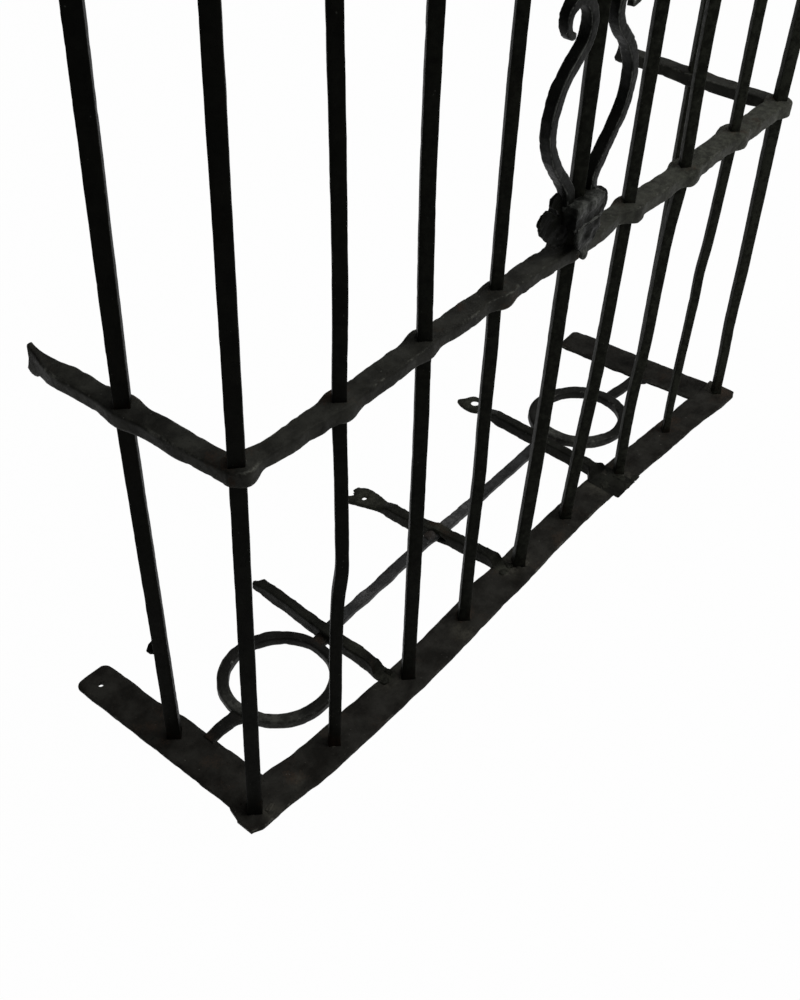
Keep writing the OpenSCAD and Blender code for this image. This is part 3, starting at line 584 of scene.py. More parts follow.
def nodePoints(name):
    obj = nodes[name]
    return [obj.matrix_world @ v.co for v in obj.data.vertices]


levelStep = 0.5 * mm  # points this near in height belong to one ring of a bar
leastWidth = 12 * mm  # narrower rings are tenons
barSpan = (4 * mm, 977 * mm)  # rings below or above are inside the straps


def barLine(name):
    # centre and width of a bar at each of its rings, read from the frame
    levels = {}
    for p in nodePoints(name):
        levels.setdefault(round(p.z / levelStep), []).append(p)
    line = []
    for key in sorted(levels):
        ps = levels[key]
        xs, ys = [p.x for p in ps], [p.y for p in ps]
        z = sum(p.z for p in ps) / len(ps)
        wide = max(xs) - min(xs)
        if wide > leastWidth and barSpan[0] < z < barSpan[1]:
            line.append((Vector(((max(xs) + min(xs)) / 2, (max(ys) + min(ys)) / 2, z)), wide))
    return line


def alongLine(line, z):
    # smooth curve through the rings of a bar
    k = stretchAt([ring.z for ring, _ in line], z)
    a, b = line[k][0], line[k + 1][0]
    before = line[k - 1][0] if k > 0 else a
    after = line[k + 2][0] if k < len(line) - 2 else b
    t = (z - a.z) / (b.z - a.z)
    span = b.z - a.z
    slopeA = (b - before) / max(b.z - before.z, mm) * span
    slopeB = (after - a) / max(after.z - a.z, mm) * span
    h00, h10 = 2 * t**3 - 3 * t**2 + 1, t**3 - 2 * t**2 + t
    h01, h11 = -2 * t**3 + 3 * t**2, t**3 - t**2
    return a * h00 + slopeA * h10 + b * h01 + slopeB * h11


def sideAt(line, z):
    # side of the square bar at a height
    k = stretchAt([ring.z for ring, _ in line], z)
    (a, wideA), (b, wideB) = line[k], line[k + 1]
    t = min(max((z - a.z) / (b.z - a.z), 0), 1)
    return (wideA + (wideB - wideA) * t) / math.sqrt(2)


frontBars = ["front_bar_%d" % k for k in range(1, 10)]
barNames = frontBars + ["side_bar_left", "side_bar_right"]
barLines = {name: barLine(name) for name in barNames}


def barAt(name, z):
    return alongLine(barLines[name], z)


# Upright bars

bars = {
    # share of painted light by place along the front: bars further right are painted paler
    "lighter": [(-500, 0.03), (-300, 0.1), (-150, 0.28), (0, 0.42), (200, 0.62), (400, 0.95)],
    "step": 4 * mm,
    "arris": 1.0 * mm,
    "noiseStep": 3.7,  # how far apart the bars' noise lies
    "twist": 2.5,  # degrees that a bar wanders about its own axis
    "twistWave": 160 * mm,
    "uneven": 0.02,  # how much the two widths differ along the bar
    "unevenWaves": ((5, 90 * mm), (9, 110 * mm)),  # noise row and length for each width
    "rustReach": (60 * mm, 35 * mm),  # at the foot and at the mid rail
    "flareHeight": 9 * mm,
    "flare": 0.8 * mm,
    "headRadius": 8.5 * mm,
    "headHeight": 3.4 * mm,
    "headSink": 0.4 * mm,
    "headWobble": 0.07,
    "headFlats": (7 * mm, 0.35 * mm),  # width and depth
}
strapThickness = 5 * mm
railHeight = 980 * mm


def makeBar(name, v):
    line = barLines[name]
    low, high = strapThickness * 0.5, railHeight - strapThickness * 0.5
    stations = []
    seed = barNames.index(name) * v["noiseStep"]
    for z in placesFrom(low, high, v["step"]):
        place = alongLine(line, min(max(z, strapThickness), railHeight - strapThickness))
        place.z = z
        side = sideAt(line, z)
        u = wayAt(math.radians(45 + v["twist"] * noise.noise(Vector((seed, 0, z / v["twistWave"])))))
        flare = v["flare"] * (1 - smoothStep((z - strapThickness) / v["flareHeight"]))
        full = side / 2 + 0.3 * v["arris"]  # makes up for the rounded arrises
        half, other = (full * (1 + v["uneven"] * noise.noise(Vector((seed, row, z / wave)))) + flare
                       for row, wave in v["unevenWaves"])
        stations.append((place, u, leftOf(u), half, other, v["arris"]))
    foot, crossing, top = (alongLine(line, z) for z in (strapThickness, midRail["height"], railHeight - strapThickness))
    forging = Forging()
    forging.sweep(stations, hands["bar"], joints=list(zip((foot, crossing), v["rustReach"])))
    # painted light: the whole bar is painted paler by its place along the front
    lighter = tableAt(v["lighter"], foot.x)[0] / mm
    for vert in forging.mesh.verts:
        vert[forging.pale] = lighter
    addHead(forging, Vector((top.x, top.y, railHeight)), v)
    forging.finish(name, "bar")


def addHead(forging, place, v):
    # hammered rivet head: a low dome with flats
    rings = []
    steps, around = 6, 28
    flatSize, flatDepth = v["headFlats"]
    for k in range(steps):
        turn = math.radians(90 * k / steps)
        radius, z = v["headRadius"] * math.cos(turn), v["headHeight"] * math.sin(turn)
        ring = []
        for a in range(around):
            out = wayAt(2 * math.pi * a / around)
            wobble = 1 + v["headWobble"] * noise.noise(out * 1.3 + place * 40)
            point = place + out * radius * wobble + Vector((0, 0, z - v["headSink"]))
            flat = noise.noise(point / flatSize) * flatDepth
            ring.append(forging.vertex(point + Vector((0, 0, min(flat, 0))), 0.6 if k < 2 else 0.2, 0.6))
        rings.append(ring)
    for a, b in zip(rings, rings[1:]):
        forging.ringFaces(a, b)
    forging.cap(rings[-1], upward * 0.2)
    forging.cap(list(reversed(rings[0])), -upward)


# Mid rail, swollen round each bar, with fishtails at the wall

midRail = {
    "height": 485.5 * mm,
    "halfDepth": 12 * mm,
    "halfThick": 8 * mm,
    "returnRise": 3.2 * mm,  # how far the eyes of the returns swell
    # how far each eye of the front swells towards the front and the back, in millimetres
    "eyes": [(5, 5), (5, 5.5), (3, 6), (5.5, 2), (2.5, 8), (6, 4.5), (5, 5), (5, 5), (5, 5)],
    "stout": (1.6 * mm, 1.1 * mm),  # how much deeper and thicker the right half is
    "stoutFrom": (95 * mm, 30 * mm),  # where that begins, and over what length it grows
    "eyeReach": 27 * mm,
    "eyeLift": 1.2 * mm,  # how far the punched eye stands up over the rail
    "liftReach": 21.6 * mm,
    "arris": 2.2 * mm,
    "step": 3 * mm,
    "sag": 6 * mm,  # how far the right half lies lower
    "sagFrom": (30 * mm, 160 * mm),  # where that begins, and over what length it sinks
    "corner": 14 * mm,  # how far the rounded corners run past the corner bars
    "cornerEnd": 0.3,  # share of the depth that is left at their ends
    "rustReach": 30 * mm,
    # how far the front and the back edge stand off the plain line: place along the rail, front, back
    "edges": [(-520, 0, 0), (-490, 0, 0), (-475, 1, -3), (-460, 0, -4), (-445, 0, -2.6), (-430, 0, 0), (-415, 1.2, 0.5),
              (-400, 0.4, -0.7), (-385, 2, -2.2), (-355, 1.5, -0.6), (-340, 1, 1), (-310, 0, 2), (-290, -0.6, 0.5),
              (-260, -0.4, 0.2), (-250, 1, -1.2), (-235, 3, -1.8), (-220, 2.3, 0), (-205, 0.8, 1.2), (-175, -1.4, 0.8),
              (-145, 0.8, -0.7), (-115, -1.2, -1.7), (-85, -1.6, 0.2), (-55, 0.5, 2.2), (-25, 0.8, 4), (-10, 2.8, 4),
              (15, 0.2, 1), (50, -1.6, 0), (80, 0, 0), (95, 3, -1), (110, 1, -2.3), (125, 0.8, -4), (145, 0, -0.8),
              (200, -0.6, -0.4), (215, 1.4, -0.6), (240, 0, 0), (520, 0, 0)],
    "cornerFill": [((-486, 14, 485), (8, 7, 6.5))],
    "lighter": [(-100, 0), (100, 0.3), (300, 0.5), (500, 0.5)],  # share of painted light by place: the right half is painted paler
    "lean": (-442 * mm, 40 * mm, 2.5 * mm),  # where, over what reach and how much the back edge is drawn in
    "leftReach": 273 * mm,
    "rightReach": 252 * mm,
    "leftSpread": -10 * mm,
    # left return: distance from the corner, how far it stands outward, how much it is narrowed
    "leftBow": [(0, 2.2, 0), (40, 3.0, 0), (90, 2.8, 0), (140, 1.5, 0), (170, 0, 0), (195, 0, 0.2), (300, 0, 0.2)],
    "leftDrop": 9 * mm,
    "tailThick": 6 * mm,
    "tailReach": 55 * mm,
    "tailFine": 15 * mm,  # from here to the wall the stations are a millimetre apart
    # fishtail seen from the side: distance to the wall end, upper and lower edge from the middle line
    "tail": [(0, -6, -10), (2, 0, -13.5), (4.4, 9, -14), (5, 21.2, -14), (9, 18.5, -14), (13, 16.5, -13),
             (18, 14, -10), (25, 11, -11), (30, 10, -12), (35, 9, -10.5), (46, 8, -8)],
}


def swell(distance, reach, rise):
    return rise * (1 + math.cos(math.pi * distance / reach)) / 2 if abs(distance) < reach else 0


def railHeightAt(x, v):
    sagAt, sagOver = v["sagFrom"]
    return v["height"] - v["sag"] * (1 - math.cos(math.pi * min(max((x - sagAt) / sagOver, 0), 1))) / 2


def makeMidFront(v):
    crossings = [barAt(name, v["height"]) for name in frontBars]
    xs = [p.x for p in crossings]

    def lineAt(x):
        k = stretchAt(xs, x)
        t = smoothStep((x - xs[k]) / (xs[k + 1] - xs[k]))
        return crossings[k].y + (crossings[k + 1].y - crossings[k].y) * t

    corner = v["corner"]
    start, stop = xs[0] - corner, xs[-1] + corner
    leanAt, leanReach, leanBy = v["lean"]
    stoutAt, stoutOver = v["stoutFrom"]
    stations = []
    for x in placesFrom(start, stop, v["step"]):
        front, back = (max(swell(x - c, v["eyeReach"], rise[side] * mm) for c, rise in zip(xs, v["eyes"]))
                       for side in (0, 1))
        lift = max(swell(x - c, v["liftReach"], v["eyeLift"]) for c in xs)
        end = min(x - start, stop - x)
        drawn = swell(x - leanAt, leanReach, leanBy)
        grown = smoothStep((x - stoutAt) / stoutOver)
        deep, thick = (part * grown for part in v["stout"])
        frontEdge, backEdge = tableAt(v["edges"], x)
        half = v["halfDepth"] + deep + (front + back - drawn + backEdge - frontEdge) / 2
        if end < corner:
            half *= max(math.sqrt(max(1 - (1 - end / corner) ** 2, 0)), v["cornerEnd"])
        place = Vector((x, lineAt(x) + (back - front - drawn + frontEdge + backEdge) / 2, railHeightAt(x, v)))
        stations.append((place, toFront, upward, half, v["halfThick"] + thick + lift, v["arris"]))
    forging = Forging()
    forging.sweep(stations, hands["rail"], along=(7, 3), joints=[(c, v["rustReach"]) for c in crossings])
    forging.lumps(v["cornerFill"], hands["rail"], pale=0)
    # painted light: the rail is painted paler towards the right
    for vert in forging.mesh.verts:
        vert[forging.pale] = max(vert[forging.pale], tableAt(v["lighter"], vert.co.x)[0] / mm)
    forging.finish("mid_rail_front", "rail")


def makeMidReturn(name, cornerX, reach, barY, spread, drop, v):
    stations = []
    y = 0
    while y <= reach + 0.01 * mm:
        toWall = reach - y
        rise = swell(y - barY, v["eyeReach"], v["returnRise"])
        lift = swell(y - barY, v["liftReach"], v["eyeLift"])
        t = smoothStep(1 - toWall / v["tailReach"])
        half = v["halfDepth"] * (1 - t) + v["tailThick"] / 2 * t + rise
        up, down = tableAt(v["tail"], toWall)
        middle = railHeightAt(cornerX, v) - drop * y / reach + (up + down) / 2
        outward, narrowed = tableAt(v["leftBow"], y) if spread else (0, 0)
        half -= narrowed * (1 - t)
        place = Vector((cornerX + spread * y / reach - outward, y, middle))
        arris = min(v["arris"], half * 0.7)
        stations.append((place, Vector((1, 0, 0)), upward, half, (up - down) / 2 + lift, arris))
        y += v["step"] if toWall > v["tailFine"] else mm
    forging = Forging()
    bar = Vector((cornerX + spread * barY / reach, barY, railHeightAt(cornerX, v) - drop * barY / reach))
    forging.sweep(stations, hands["rail"], along=(5, 5), joints=[(bar, v["rustReach"])])
    forging.finish(name, "rail")


# Base and top frames of flat bar

straps = {
    "halfWidth": 24 * mm,
    "halfThick": 2.5 * mm,
    "arris": 1.3 * mm,
    "step": 5 * mm,
    "fineStep": 1.5 * mm,
    "leftEnd": 33 * mm,  # how far the front strap runs past the corner bars
    "rightEnd": 31 * mm,
    "bow": 8 * mm,  # height and length of the wave that the front strap follows
    "wave": 880 * mm,
    "waveFrom": -90 * mm,
    "lineAt": -2.5 * mm,
    "half": 500 * mm,
    "endRadius": 9 * mm,
    "endRounded": 0.98,  # how fully an arm's corners are rounded at the wall
    "endReach": 14 * mm,  # over what length the front strap's ends are drawn in
    "endCut": 5 * mm,
    "backCut": (20 * mm, 8 * mm),  # how deep and how long its left end's back corner is cut away
    "armFrom": 12 * mm,  # where the arms begin, behind the front bars' line
    "crowding": 1.6,  # above 1, stations lie closer towards an arm's wall end
    "armRust": 24 * mm,  # reach of the rust round a side bar's foot
    "holeRadius": 3.5 * mm,
    "holeInset": 22 * mm,
    "rustyFeet": (20, 26, 14, 18, 14, 36, 20, 40, 44),  # reach of the rust round the front bars' feet, in millimetres
    # pale scale and weld beads on the front strap: place and reach, place and size
    "paleSpots": [((226, -4, 5), 34), ((-500, -20, 5), 16), ((-452, -14, 5), 12), ((-270, 12, 5), 30),
                  ((-18, 10, 5), 30), ((4, 6, 5), 20), ((205, 10, 5), 34), ((232, -6, 5), 34), ((520, 0, 5), 26),
                  ((-150, -16, 5), 22)],
    # how far the front strap's front and back edges stand off its plain line
    "edges": [(-533, 0, 0), (-520, 0.5, 0), (-475, 1.5, 4.5), (-460, 0.5, 4), (-445, -0.6, 2.2), (-430, -2, 1.6),
              (-400, -1.3, 0.6), (-370, -0.6, 1.6), (-325, 0, 1.2), (-290, 0, 0), (-160, -0.5, 0), (-115, -0.6, 0.8),
              (-70, -0.8, 4), (-50, -1.4, 2), (-35, -2.4, 1), (-10, -2, 0.3), (35, -1.5, -0.6), (65, 0, -1.6),
              (110, 0.4, -0.4), (150, 1, 0.4), (200, 1.7, 1), (230, -2, 0), (250, 0, 0), (335, 0.5, -0.8),
              (380, 2, -0.2), (410, 3.4, 0.4), (455, 1.8, 1.6), (485, 0.2, 0), (531, 0, 0)],
    "beads": [((-6, 4, 5.4), (9, 7, 2.2)), ((2, -5, 5.2), (5, 4, 1.6)), ((-497, -14, 5.2), (6, 4, 1.4)),
              ((-514, -4, 5.2), (5, 4, 1.3)), ((-384, -10, 5.2), (7, 5, 1.6))],
}
# arms: middle line at the front, reach, half width, lean, hole off the middle line (None: no hole),
# and how far the inner edge stands out at distances from the front
arms = {
    "base_left_arm": {"x": -500.6 * mm, "reach": 281 * mm, "half": 24.5 * mm, "lean": 0.4, "hole": -3 * mm, "inner": 1,
                      "belly": [(0, 5), (150, 5), (190, 0), (300, 0)]},
    "base_right_arm": {"x": 497.5 * mm, "reach": 251 * mm, "half": 26.5 * mm, "lean": 5, "hole": None, "inner": -1,
                       "belly": [(0, 0), (40, 0), (128, 4), (148, 4), (219, 0), (300, 0)]},
    "top_left_arm": {"x": -500 * mm, "reach": 281 * mm, "half": 24 * mm, "lean": 0, "hole": 0, "inner": 1,
                     "belly": [(0, 0), (300, 0)]},
    "top_right_arm": {"x": 500 * mm, "reach": 251 * mm, "half": 24 * mm, "lean": 0, "hole": 0, "inner": -1,
                      "belly": [(0, 0), (300, 0)]},
}


def strapLine(x, v):
    return v["bow"] * math.sin(2 * math.pi * (x - v["waveFrom"]) / v["wave"]) + v["lineAt"]


def makeBaseFront(v):
    start, stop = -v["half"] - v["leftEnd"], v["half"] + v["rightEnd"]
    cutDeep, cutLong = v["backCut"]
    stations = []
    x = start
    while x <= stop:
        cut = sum(swell(toEnd, v["endReach"], v["endCut"]) for toEnd in (x - start, stop - x))
        backCut = cutDeep * (1 - smoothStep((x - start) / cutLong))
        front, back = tableAt(v["edges"], x)
        place = Vector((x, strapLine(x, v) + (cut - backCut + front + back) / 2, v["halfThick"]))
        half = v["halfWidth"] - (cut + backCut + front - back) / 2
        stations.append((place, toFront, upward, half, v["halfThick"], v["arris"]))
        x += v["fineStep"] if min(x - start, stop - x) < v["endReach"] else v["step"]
    forging = Forging()
    rusty = [(barAt(name, strapThickness), reach * mm) for name, reach in zip(frontBars, v["rustyFeet"])]
    forging.sweep(stations, hands["strap"], along=(11, 1), joints=rusty, pales=spotsOf(v["paleSpots"]))
    forging.lumps(v["beads"], hands["strap"])
    forging.finish("base_front_strap", "strap")


def endShrink(toEnd, radius):
    return radius - math.sqrt(max(radius**2 - (radius - toEnd) ** 2, 0)) if toEnd < radius else 0


def drillHole(obj, place, radius):
    cutter = bmesh.new()
    bmesh.ops.create_cone(cutter, cap_ends=True, segments=28, radius1=radius, radius2=radius, depth=40 * mm,
                          matrix=Matrix.Translation(place))
    data = bpy.data.meshes.new("drill")
    cutter.to_mesh(data)
    cutter.free()
    drill = bpy.data.objects.new("drill", data)
    bpy.context.collection.objects.link(drill)
    cut = obj.modifiers.new("hole", "BOOLEAN")
    cut.object = drill
    cut.operation = "DIFFERENCE"
    cut.solver = "EXACT"
    done = bpy.data.meshes.new_from_object(obj.evaluated_get(bpy.context.evaluated_depsgraph_get()))
    obj.modifiers.clear()
    obj.data = done
    bpy.data.objects.remove(drill)


def makeArm(name, z, barY, arm, v):
    reach, lean, half = arm["reach"], math.radians(arm["lean"]), arm["half"]
    count = int(reach / v["step"]) * 2
    start = v["armFrom"]
    across = wayAt(lean)
    along = leftOf(across)
    origin = Vector((arm["x"], 0, z + v["halfThick"]))
    stations = []
    for k in range(count + 1):
        t = 1 - (1 - k / count) ** v["crowding"]
        y = start + (reach - start) * t
        out = tableAt(arm["belly"], y)[0]
        middle = origin + along * y + across * (arm["inner"] * out / 2)
        shrink = endShrink(reach - y, v["endRadius"]) * v["endRounded"]
        stations.append((middle, across, upward, half + out / 2 - shrink, v["halfThick"], v["arris"]))
    forging = Forging()
    forging.sweep(stations, hands["strap"], along=(9, 1), joints=[(origin + along * barY, v["armRust"])])
    obj = forging.finish(name, "strap")
    if arm["hole"] is not None:
        drillHole(obj, origin + along * (reach - v["holeInset"]) + across * arm["hole"], v["holeRadius"])


def makeTopFront(v):
    start, stop = -v["half"] - v["halfWidth"], v["half"] + v["halfWidth"]
    stations = []
    z = railHeight - v["halfThick"]
    for x in placesFrom(start, stop, v["step"]):
        half = v["halfWidth"] - endShrink(min(x - start, stop - x), v["endRadius"])
        stations.append((Vector((x, 0, z)), toFront, upward, half, v["halfThick"], v["arris"]))
    forging = Forging()
    forging.sweep(stations, hands["strap"], along=(11, 1))
    forging.finish("top_front_strap", "strap")


for barName in barNames:
    makeBar(barName, bars)
print("bars swept")

makeMidFront(midRail)
for returnName, cornerBar, sideBar, returnReach, returnSpread, returnDrop in (
        ("mid_rail_left_return", "front_bar_1", "side_bar_left", midRail["leftReach"], midRail["leftSpread"],
         midRail["leftDrop"]),
        ("mid_rail_right_return", "front_bar_9", "side_bar_right", midRail["rightReach"], 0, 0)):
    makeMidReturn(returnName, barAt(cornerBar, midRail["height"]).x, returnReach, barAt(sideBar, midRail["height"]).y,
                  returnSpread, returnDrop, midRail)
print("mid rail swept")

topZ = railHeight - strapThickness
makeBaseFront(straps)
for armName, armValues in arms.items():
    sideBar = "side_bar_left" if "left" in armName else "side_bar_right"
    makeArm(armName, topZ if armName.startswith("top") else 0, barAt(sideBar, strapThickness).y, armValues, straps)
makeTopFront(straps)
print("straps swept")


# Tie bar, pot rings and their stubs

ringTie = {
    "start": (-268, 111.8),
    "stop": (219.5, 124.3),
    "halfWidth": 7.75 * mm,
    "halfThick": 5.25 * mm,
    "low": 4 * mm,
    "arris": 2.6 * mm,
    "uneven": 0.06,
    "wander": 0.6 * mm,
    # how far the bar stands back from its straight line by place
    "bend": [(-268, -0.6), (-180, -0.8), (-110, 0.8), (-60, 1.8), (-44, 0.4), (-20, -0.6), (60, -1.2), (219, 0)],
    "nub": [((-48, 118.4, 12), (11, 8.5, 6))],  # weld in the middle crossbar's eye
    "paleSpots": [((-6, 119, 14), 34), ((30, 120, 14), 24), ((-190, 113, 14), 26)],
}
potRings = {
    "segments": 144,
    "halfThick": 6.75 * mm,
    "arris": 3 * mm,
    "wander": 0.006,  # share of the ring's size that its line strays
    "uneven": 0.05,
    "paleSpots": [((-52, -42, 6), 40), ((-66, 10, 6), 30)],  # from the middle of the ring
    "weldReach": 26 * mm,
    # centre, half axes of the oval that the bar's middle line follows, direction of the first axis in degrees,
    # half width, and how much wider and further out the bar is in a direction
    "left": {"centre": (-358.9 * mm, 104.6 * mm), "axes": (67.4 * mm, 64.8 * mm), "turn": 146, "halfWidth": 7.5 * mm,
             "wide": -1.2 * mm, "towards": 345, "shift": 0.6 * mm},
    "right": {"centre": (311.8 * mm, 116.2 * mm), "axes": (66.1 * mm, 60.4 * mm), "turn": 144, "halfWidth": 8 * mm,
              "wide": 2.5 * mm, "towards": 132, "shift": 2 * mm},
}
# stubs: points along the middle and the half width there
stubs = {
    "step": 3 * mm,
    "low": 2 * mm,
    "halfThick": 4.25 * mm,
    "arris": 2 * mm,
    "beaten": 2.4 * mm,
    "beatenReach": 20 * mm,
    "weldReach": 24 * mm,
    "pot_ring_left": [((-292, 108), 8), ((-283, 108), 9), ((-266, 108), 10.5)],
    "pot_ring_right": [((250, 118), 9), ((238, 119), 10), ((224, 119), 11)],
    "ring_stub_left": [((-422, 100), 11.5), ((-432, 100.8), 10.3), ((-444, 102), 8.6), ((-458, 103), 8),
                       ((-468, 103), 8.4), ((-478, 103), 8.8)],
    "ring_stub_right": [((372, 110), 8.4), ((384, 109.5), 7.6), ((436, 104.5), 7.8), ((450, 102.5), 9.5),
                        ((459, 101), 15), ((469, 99.5), 18)],
}


def straightStations(a, b, halfU, halfV, arris, step=4 * mm):
    along = (b - a).normalized()
    across = Vector((along.y, -along.x, 0)).normalized()
    count = max(int((b - a).length / step), 2)
    return [(a.lerp(b, k / count), across, upward, halfU, halfV, arris) for k in range(count + 1)]


def makeTie(v):
    z = v["low"] + v["halfThick"]
    plain = straightStations(placeAt(v["start"], z), placeAt(v["stop"], z), v["halfWidth"], v["halfThick"], v["arris"])
    stations = []
    for k, (place, u, w, halfU, halfV, arris) in enumerate(plain):
        wide = 1 + v["uneven"] * noise.noise(Vector((k / 9, 3.1, 0)))
        bent = Vector((0, tableAt(v["bend"], place.x)[0], 0)) + u * noise.noise(Vector((k / 14, 0, 8))) * v["wander"]
        stations.append((place + bent, u, w, halfU * wide, halfV, arris))
    forging = Forging()
    forging.sweep(stations, hands["ring"], pales=spotsOf(v["paleSpots"]))
    forging.lumps(v["nub"], hands["ring"], joint=1, pale=0.5)
    forging.finish("tie_bar", "tie")


def sweepStub(forging, points, v, beaten=False):
    # beaten: the far end is hammered down level with the strap
    z = v["low"] + v["halfThick"]
    tip = placeAt(points[-1][0], z)
    stations = []
    for (a, halfA), (b, halfB) in zip(points, points[1:]):
        part = straightStations(placeAt(a, z), placeAt(b, z), halfA * mm, v["halfThick"], v["arris"], v["step"])
        for k, (place, u, w, _, halfV, arris) in enumerate(part[:-1] if b != points[-1][0] else part):
            half = (halfA + (halfB - halfA) * smoothStep(k / (len(part) - 1))) * mm
            flat = v["beaten"] * smoothStep(1 - (place - tip).length / v["beatenReach"]) if beaten else 0
            stations.append((place - w * flat, u, w, half, halfV - flat, min(arris, halfV - flat - 0.2 * mm)))
    ends = [(placeAt(points[k][0], z), v["weldReach"]) for k in (0, -1)]
    forging.sweep(stations, hands["ring"], joints=ends)


def makeRing(name, ring, stub, v):
    count = v["segments"]
    stations = []
    centre = Vector((ring["centre"][0], ring["centre"][1], v["halfThick"]))
    a, b = ring["axes"]
    axisA, towards = (wayAt(math.radians(ring[k])) for k in ("turn", "towards"))
    axisB = leftOf(axisA)
    for k in range(count):
        turn = 2 * math.pi * k / count
        out = (axisA * (math.cos(turn) * b) + axisB * (math.sin(turn) * a)).normalized()
        wander = 1 + v["wander"] * noise.noise(out * 1.4 + centre * 9)
        place = centre + (axisA * (math.cos(turn) * a) + axisB * (math.sin(turn) * b)) * wander
        near = max(out.dot(towards), 0) ** 3
        wide = ring["halfWidth"] + ring["wide"] * near
        half = wide * (1 + v["uneven"] * noise.noise(out * 2.2 + Vector((0, centre.x * 7, 3))))
        place += out * ring["shift"] * near
        stations.append((place, out, upward, half, v["halfThick"], v["arris"]))
    weld = placeAt(stub[1][0], v["halfThick"])
    forging = Forging()
    forging.sweep(stations, hands["ring"], closed=True, joints=[(weld, v["weldReach"])],
                  pales=[(centre + spot, reach) for spot, reach in spotsOf(v["paleSpots"])])
    sweepStub(forging, stub, stubs)
    forging.finish(name, "ring")


def makeStub(name, points):
    forging = Forging()
    sweepStub(forging, points, stubs, True)
    forging.finish(name, "ring")


makeTie(ringTie)
for side in ("left", "right"):
    makeRing("pot_ring_" + side, potRings[side], stubs["pot_ring_" + side], potRings)
for side in ("left", "right"):
    makeStub("ring_stub_" + side, stubs["ring_stub_" + side])
print("rings swept")


# Crossbars, ornament and lug, worked up from the frame's own solids

beadPale = 0.35
wornFrom = 5  # how strongly a bulge counts as an arris, which takes rubbed wear and a painted highlight


def forgedCopy(name, voxel, smooth, paint, slot, handName, joints=(), pales=(), beads=(), grow=0, warp=None):
    source = nodes[name]
    data = source.data.copy()
    data.transform(source.matrix_world)
    work = bpy.data.objects.new(name + "_work", data)
    bpy.context.collection.objects.link(work)
    remesh = work.modifiers.new("remesh", "REMESH")
    remesh.mode = "VOXEL"
    remesh.voxel_size = voxel
    soften = work.modifiers.new("soften", "SMOOTH")
    soften.factor = 0.5
    soften.iterations = smooth
    done = bpy.data.meshes.new_from_object(work.evaluated_get(bpy.context.evaluated_depsgraph_get()))
    bpy.data.objects.remove(work)
    forging = Forging()
    forging.mesh.from_mesh(done)
    forging.addLayers()
    forging.mesh.normal_update()
    bulge, moved = {}, {}
    joints, pales = spotsOf(joints), spotsOf(pales)
    for v in forging.mesh.verts:
        around = [e.other_vert(v).co for e in v.link_edges]
        middle = sum(around, Vector()) / len(around)
        bulge[v] = (v.co - middle).dot(v.normal) / voxel
    for v in forging.mesh.verts:
        spread = (bulge[v] + sum(bulge[e.other_vert(v)] for e in v.link_edges)) / (1 + len(v.link_edges))
        v[forging.worn] = min(max(spread * wornFrom, 0), 1)
        v[forging.joint] = nearness(v.co, joints)
        v[forging.pale] = nearness(v.co, pales)
    for v in forging.mesh.verts:
        out = v.normal.copy()
        grown = v.co + out * grow
        moved[v] = hammered(warp(grown) if warp else grown, out, v[forging.worn], hands[handName])
    for v, place in moved.items():
        v.co = place
    forging.lumps(beads, hands[handName], pale=beadPale)
    forging.finish(name, paint)


ornament = {
    "voxel": mm,
    "smooth": 3,
    "scrollVoxel": 1.3 * mm,
    "scrollSmooth": 2,
    "leafPlane": -5 * mm,
    "leafThin": 0.5,  # side leaves are hammered out to this share of their thickness
    "scrollDeep": 1.2,
    "scrollIn": 4.5 * mm,  # how far the scrolls bend in over the collar
    "scrollBend": (553 * mm, 572 * mm, 590 * mm, 670 * mm),
    # pale spots on the collar's top edges and on the front leaf are painted highlights
    "collarHighlights": [((-14, -24, 552), 16), ((10, -24, 551), 16), ((24, -16, 549), 14), ((-24, -10, 552), 12)],
    "frontLeafHighlights": [((0, -26, 492), 16), ((-16, -26, 520), 10)],
    "seamBeads": [((-12, -22.6, 527), (13, 3, 5)), ((9, -22.6, 527), (14, 3.2, 5)), ((20, -21.5, 528), (7, 4.2, 5))],
    "tuckIn": ((19, -24, 493), 22, (-5, 0, 4)),  # lower right lobe of the front leaf: place, reach, way
    "lug": [(-496, 5.4, 6.6), (-502, 4.6, 5.8), (-507.5, 1.6, 3.2)],  # x, half height and half depth
    "lugAt": (151.5 * mm, 147.5 * mm),
}


def tuckedLeaf(point):
    spot, reach, way = ornament["tuckIn"]
    return point + Vector(way) * mm * nearness(point, spotsOf([(spot, reach)]))


def thinnedLeaf(point):
    plane = ornament["leafPlane"]
    return Vector((point.x, plane + (point.y - plane) * ornament["leafThin"], point.z))


def bentScroll(point):
    low, full, fading, gone = ornament["scrollBend"]
    bend = smoothStep((point.z - low) / (full - low)) * (1 - smoothStep((point.z - fading) / (gone - fading)))
    plane = ornament["leafPlane"]
    y = plane + (point.y - plane) * ornament["scrollDeep"]
    return Vector((point.x - math.copysign(ornament["scrollIn"] * bend, point.x), y, point.z))


def makeLug(v):
    y, z = v["lugAt"]
    stations = [(Vector((x * mm, y, z)), -toFront, upward, deep * mm, high * mm, mm)
                for x, high, deep in v["lug"]]
    forging = Forging()
    forging.sweep(stations, hands["bar"], along=(2, 2))
    forging.finish("wall_lug", "bar")


